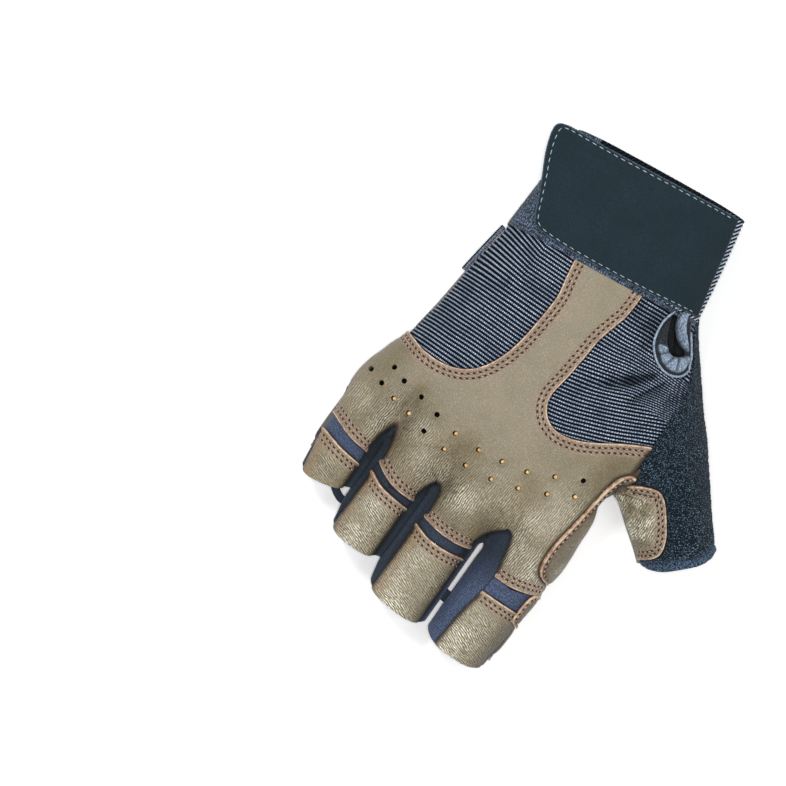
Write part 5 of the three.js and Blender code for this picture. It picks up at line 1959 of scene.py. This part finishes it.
def vent_relief(mesh):
    """A soft ring inside its piping, gathered at the lower side, and flat and dark at the upper."""
    p = mesh["co"]
    hole, rim = np.clip(plan(p, VENT_GAP), 0, 9), np.clip(-plan(p, VENT_OUTER), 0, 9)
    flat = held(0.5 - plan(p, VENT_SHADE) / 1.6)
    beyond = held((0.69 * (p[:, 0] - 19.5) + 0.72 * (p[:, 1] - 50)) / 2)
    inner = np.clip(rim - 1.0 - 1.5 * beyond, 0, 9)
    dome = np.sqrt(held(1 - (2 * held(hole / np.maximum(hole + inner, 0.1)) - 1) ** 2))
    groove = np.maximum(bump(rim - 1.15, 0.5), beyond * bump(rim - 1.9, 0.8))
    creased = -folds(p, VENT_CREASES, 0.3)
    twill = 0.12 * np.cos(2 * math.pi * (p[:, 1] - 0.4 * p[:, 0]) / 1.3)
    full = 1.5 * dome - 0.5 * creased + uneven(p, 0.3, 2.2, 51)
    mesh["shade"] = held((1 - flat) * (0.15 + 0.95 * dome) - 0.75 * creased - 1.2 * groove)
    return full * (1 - flat) + (twill - 0.5) * flat - 0.7 * groove - 0.5 * bump(hole, 0.5)


def draped(points, tree, lift):
    """Points seen from above, laid on a surface and lifted, with their heights evened out."""
    found = []
    for x, y in points:
        hit = tree.ray_cast((x, y, SKY), (0, 0, -1.0))[0]
        if hit is not None:
            found.append((x, y, hit[2] + lift))
    found = np.array(found)
    found[:, 2] = np.convolve(np.pad(found[:, 2], 4, mode="edge"), np.ones(9) / 9, mode="valid")
    return found


def tube(line, radius):
    """A closed round cord along a line of points."""
    heading = unit(np.gradient(line, axis=0))
    side = unit(np.cross(heading, [0, 0, 1.0]))
    up = np.cross(side, heading)
    return closed_rings(np.stack(around(line, side, up, radius, ROUND_SIDES), 1))


def build_vent(skin):
    region = less(area(VENT_OUTER, low=SEAM), area(VENT_GAP))
    solid = panel(skin, region, "vent", vent_relief, fine=True)
    ring = lined("vent_ring", solid, "satin", "vent_binding")
    tree = outer_tree(panel(skin, area(VENT_OUTER, low=SEAM), "vent seat"))
    line = draped(sampled(VENT_OUTER[:-8], 0.5), tree, 0.15)
    piece("vent_piping", tube(line, 0.46), "piping")


def build_thumb(skin, made):
    region = less(area(THUMB_BACK), thenar, thumb_patch, guard, back_leather, lap=LAP)
    solid = panel(skin, region, "towelling", terry_relief, fine=True)
    lined("thumb_towelling", solid, "terry", "thumb_back")
    relief = patch_relief(THUMB_HEM_ROWS, 0.95, 1.5, THUMB_PATCH_FOLDS)
    hems = [THUMB_PATCH_EDGE]
    solid = panel(skin, thumb_patch, "thumb leather", relief, fine=True, hems=hems)
    lined("thumb_leather", solid, "leather_thumb", "thumb_patch")
    sew(made, solid, inset_rows(THUMB_PATCH, hems, THUMB_HEM_ROWS), thumb_patch)
    hems = [WEB_GUARD_EDGE]
    solid = panel(skin, guard, "guard", patch_relief(GUARD_ROW, 0.35), hems=hems)
    lined("guard_leather", solid, "leather_guard", "web_guard")
    sew(made, solid, inset_rows(WEB_GUARD, hems, GUARD_ROW), guard)


def build_palm(skin, made):
    palm = zone(-REACH, REACH, SUEDE_END, REACH, SEAM)
    palm = less(palm, thenar, guard, area(THUMB_BACK), lap=SHORT_LAP)
    region = less(palm, holes(PALM_HOLES, high=SEAM))
    relief = cloth_relief(0.5, 71, (thenar, heel, knuckle, finger_leather))
    solid = panel(skin, region, "suede", relief, floor=REST)
    lined("palm_suede", solid, "suede", "palm_panel")
    table = [
        ("thenar_pad", thenar, THENAR_PAD, [THENAR_INNER, THENAR_OUTER], THENAR_CHANNELS, 0.9),
        ("heel_pad", heel, HEEL_PAD, [HEEL_INNER], HEEL_CHANNELS, 0.9),
        ("knuckle_pad", knuckle, KNUCKLE_PAD, [KNUCKLE_PAD_EDGE], KNUCKLE_CHANNELS, 1.0),
        ("finger_base_leather", finger_leather, FINGER_BASE_LEATHER, [FINGER_LEATHER_EDGE], [], 0.6),
    ]
    for name, shape in FINGER_PATCHES.items():
        ring = shape if name == "index" else np.vstack([shape, shape[:1]])
        table.append(("patch_" + name, patches[name], shape, [ring], [], 0.6))
    for name, region, shape, hems, channels, puff in table:
        padded = name.endswith("_pad")
        single = name in ("thenar_pad", "heel_pad")
        rows = PALM_ROW if single else PALM_ROWS
        relief = pad_relief(puff, rows, 0.4 if padded else 0.25)
        solid = panel(skin, region, "pad", relief, hems=hems, channels=channels, floor=REST)
        look = "leather_palm" if single else "leather_palm_edge"
        pad = lined(name + "_leather", solid, look, name)
        lines = inset_rows(shape, hems, rows) + [sampled(channel) for channel in channels]
        sew(made, solid, lines, region, below=True)


def build_sleeves(skin, made):
    uppers = [back_leather, *strips.values(), *caps.values()]
    for name, (left, right) in FINGER_WALLS.items():
        wall = less(zone(left, right, -REACH, SLEEVE_TOP), *uppers, lap=LAP)
        relief = sleeve_relief(name, (back_leather, strips[name], caps[name]))
        solid = panel(skin, less(wall, guard, lap=SHORT_LAP), "stretch", relief)
        lined(name + "_sleeve", solid, "stretch", "sleeve_" + name)
    region = area(INDEX_SIDE_PATCH, low=SEAM)
    hems = [INDEX_SIDE_EDGE]
    solid = panel(skin, region, "index side", patch_relief(GUARD_ROW), hems=hems)
    piece("index_side_leather", solid, "leather_guard", "index_side_patch")
    sew(made, solid, inset_rows(INDEX_SIDE_PATCH, hems, GUARD_ROW), region)


def strap_relief(mesh):
    """Soft waves, with a rounded edge and a sewn groove beside it."""
    edge = mesh["edge"]
    soft = uneven(mesh["co"], 0.5, (18, 14, 14), 91)
    return soft - 0.35 * np.exp(-edge / 0.5) - 0.15 * bump(edge - 1.1, 0.5)


def rim_sink(p):
    """The cuff's lower rim lies below the palm's leather."""
    v = cuff_loft.local(p)[1]
    return -0.8 * held((SEAM - p[:, 2]) / 3) * held((CUFF_START + 2.5 - v) / 2)


def twill_relief(mesh):
    """Fine diagonal ribs, dark along the cuff's far rim and calmer on the palm's side."""
    p = mesh["co"]
    u, v = cuff_loft.local(p)
    rib = 0.52 * (u - v) - 0.07 * p[:, 2]
    mesh["rib"], mesh["along"] = rib, p[:, 1] + p[:, 0] - p[:, 2]
    hem = 0.98 * held((v - 39) / 1.2) * held((32 - u) / 3)
    mesh["dim"] = np.maximum(hem, 0.9 * held((v - 41.6) / 0.6))
    mesh["calm"] = 0.7 * held((SEAM - p[:, 2]) / 4)
    return 0.2 * np.cos(2 * math.pi * rib) + rim_sink(p)


def knit_relief(mesh):
    """Stretch knit in small uneven loops."""
    p = mesh["co"]
    return uneven(p, 0.35, (0.9, 1.3, 0.9), 94) + uneven(p, 0.5, (6, 11, 9), 95) + rim_sink(p)


def cuff_band(p):
    v = cuff_loft.local(p)[1]
    return np.maximum(CUFF_START - v, v - CUFF_LENGTH)


def knit_side(p):
    u, v = cuff_loft.local(p)
    below = np.maximum(u - CUFF_JOIN["inner"], p[:, 2] - SEAM)
    return np.minimum(np.minimum(u - CUFF_JOIN["outer"], below), v - KNIT_EDGE)


def build_cuff(palm_made, strap_made):
    cuff_skin = make_skin(cuff_form, *CUFF_BOX)
    strap_skin = make_skin(strap_form, *CUFF_BOX)
    region = both(cuff_band, knit_side)
    solid = panel(cuff_skin, region, "cuff", knit_relief, form=cuff_form)
    lined("cuff_knit_cloth", solid, "knit", "cuff_knit")
    region = less(cuff_band, knit_side)
    solid = panel(cuff_skin, region, "cuff", twill_relief, fine=True, form=cuff_form)
    lined("cuff_twill_cloth", solid, "twill", "cuff_twill")
    region = area(WRIST_STRAP, low=SEAM)
    solid = panel(strap_skin, region, "strap", strap_relief, form=strap_form)
    piece("strap", solid, "loop", "wrist_strap")
    edges = [STRAP_EDGES[side] for side in ("free_end", "top", "bottom")]
    sew(strap_made, solid, inset_rows(WRIST_STRAP, edges, STRAP_ROW), region, kinds=DASHES)
    region = area(PULL_TAB, high=SEAM)
    relief, hems = patch_relief(PALM_ROW), [PULL_TAB_EDGE]
    solid = panel(cuff_skin, region, "pull tab", relief, hems=hems, floor=REST, form=cuff_form)
    piece("tab_leather", solid, "leather_palm", "pull_tab")
    sew(palm_made, solid, inset_rows(PULL_TAB, hems, PALM_ROW), region, below=True)


def ribbon(points, width, low, high):
    """A closed ribbon along a curve seen from above, thin and upright at its edges."""
    line = catmull(points, 10)
    side = sideways(line)
    lift = 0.25 * np.sin(math.pi * np.linspace(0, 1, len(line)))
    rings = [
        np.column_stack([line + side * (width * across), low + (high - low) * up + lift])
        for across, up in RIBBON_PROFILE
    ]
    return closed_rings(np.stack(rings, 1))


def build_trim(skin):
    tab = SIDE_TAB
    span = zone(-REACH, tab["side"], tab["front"], tab["back"], tab["high"], tab["low"])
    piece("folded_tab", panel(skin, span, "side tab"), "tab_weave", "side_tab")
    piece("folded_tab_edge", panel(skin, span, "side tab edge"), "tab")
    for name, (points, width) in PULL_LOOPS.items():
        loop = ribbon(points, width, 0.5, 1.75)
        # Painted shade: the loops lie deep between the fingers
        loop["dim"] = np.full(len(loop["co"]), 0.7)
        piece(name + "_pull_loop", loop, "stretch", "pull_loop_" + name)


def build_glove():
    skin = make_skin(hand_form, *HAND_BOX, FINGER_GAPS)
    skin = cut(skin, np.maximum(mouths(skin["co"]), cuff_line(skin["co"])))
    back, palm, strap = {}, {}, {}
    build_back(skin, back)
    build_ribs(skin)
    build_vent(skin)
    build_thumb(skin, back)
    build_sleeves(skin, back)
    build_palm(skin, palm)
    build_cuff(palm, strap)
    build_trim(skin)
    for name, made in (("back", back), ("palm", palm)):
        piece("stitches_" + name, joined(made["thread"]), "thread")
        piece("stitch_holes_" + name, joined(made["pit"]), "pit")
    piece("stitches_strap", joined(strap["dash"]), "thread_light")


# Floor, light and camera
def floor_look():
    look = Look("pale_floor")
    speck = look.noise(0.02, 3.0, 0.5)
    look.set(Base_Color=look.mix(speck, (0.86, 0.86, 0.86, 1), (0.9, 0.9, 0.9, 1)), Roughness=0.9)
    return look.done()


def build_floor():
    half = FLOOR_HALF
    corners = [(-half, -half, 0), (half, -half, 0), (half, half, 0), (-half, half, 0)]
    mesh = bpy.data.meshes.new("floor")
    mesh.from_pydata(corners, [], [(0, 1, 2, 3)])
    mesh.materials.append(floor_look())
    floor = bpy.data.objects.new("floor", mesh)
    bpy.context.scene.collection.objects.link(floor)


def area_light(name, place, size, power):
    """A round lamp that points at the glove's middle."""
    light = bpy.data.lights.new(name, "AREA")
    light.shape = "DISK"
    light.size = size
    light.energy = power
    thing = bpy.data.objects.new(name, light)
    thing.location = place
    thing.rotation_euler = (-Vector(place)).to_track_quat("-Z", "Y").to_euler()
    bpy.context.scene.collection.objects.link(thing)


def build_studio():
    scene = bpy.context.scene
    world = bpy.data.worlds.new("studio")
    world.use_nodes = True
    background = world.node_tree.nodes["Background"]
    background.inputs[0].default_value = (1.0, 1.0, 1.0, 1)
    background.inputs[1].default_value = ROOM_LIGHT
    scene.world = world
    for name, values in LAMPS.items():
        area_light(name, *values)
    camera = bpy.data.cameras.new("camera")
    camera.sensor_width = SENSOR
    camera.lens = SENSOR * (CAMERA_HEIGHT - BACK_HEIGHT) / PHOTO_WIDTH
    camera.clip_end = VIEW_END
    thing = bpy.data.objects.new("camera", camera)
    thing.location = (*PHOTO_MIDDLE, CAMERA_HEIGHT)
    thing.rotation_euler = (0, 0, PHOTO_TURN)
    scene.collection.objects.link(thing)
    scene.camera = thing
    scene.view_settings.view_transform = "Standard"


build_glove()
build_floor()
build_studio()
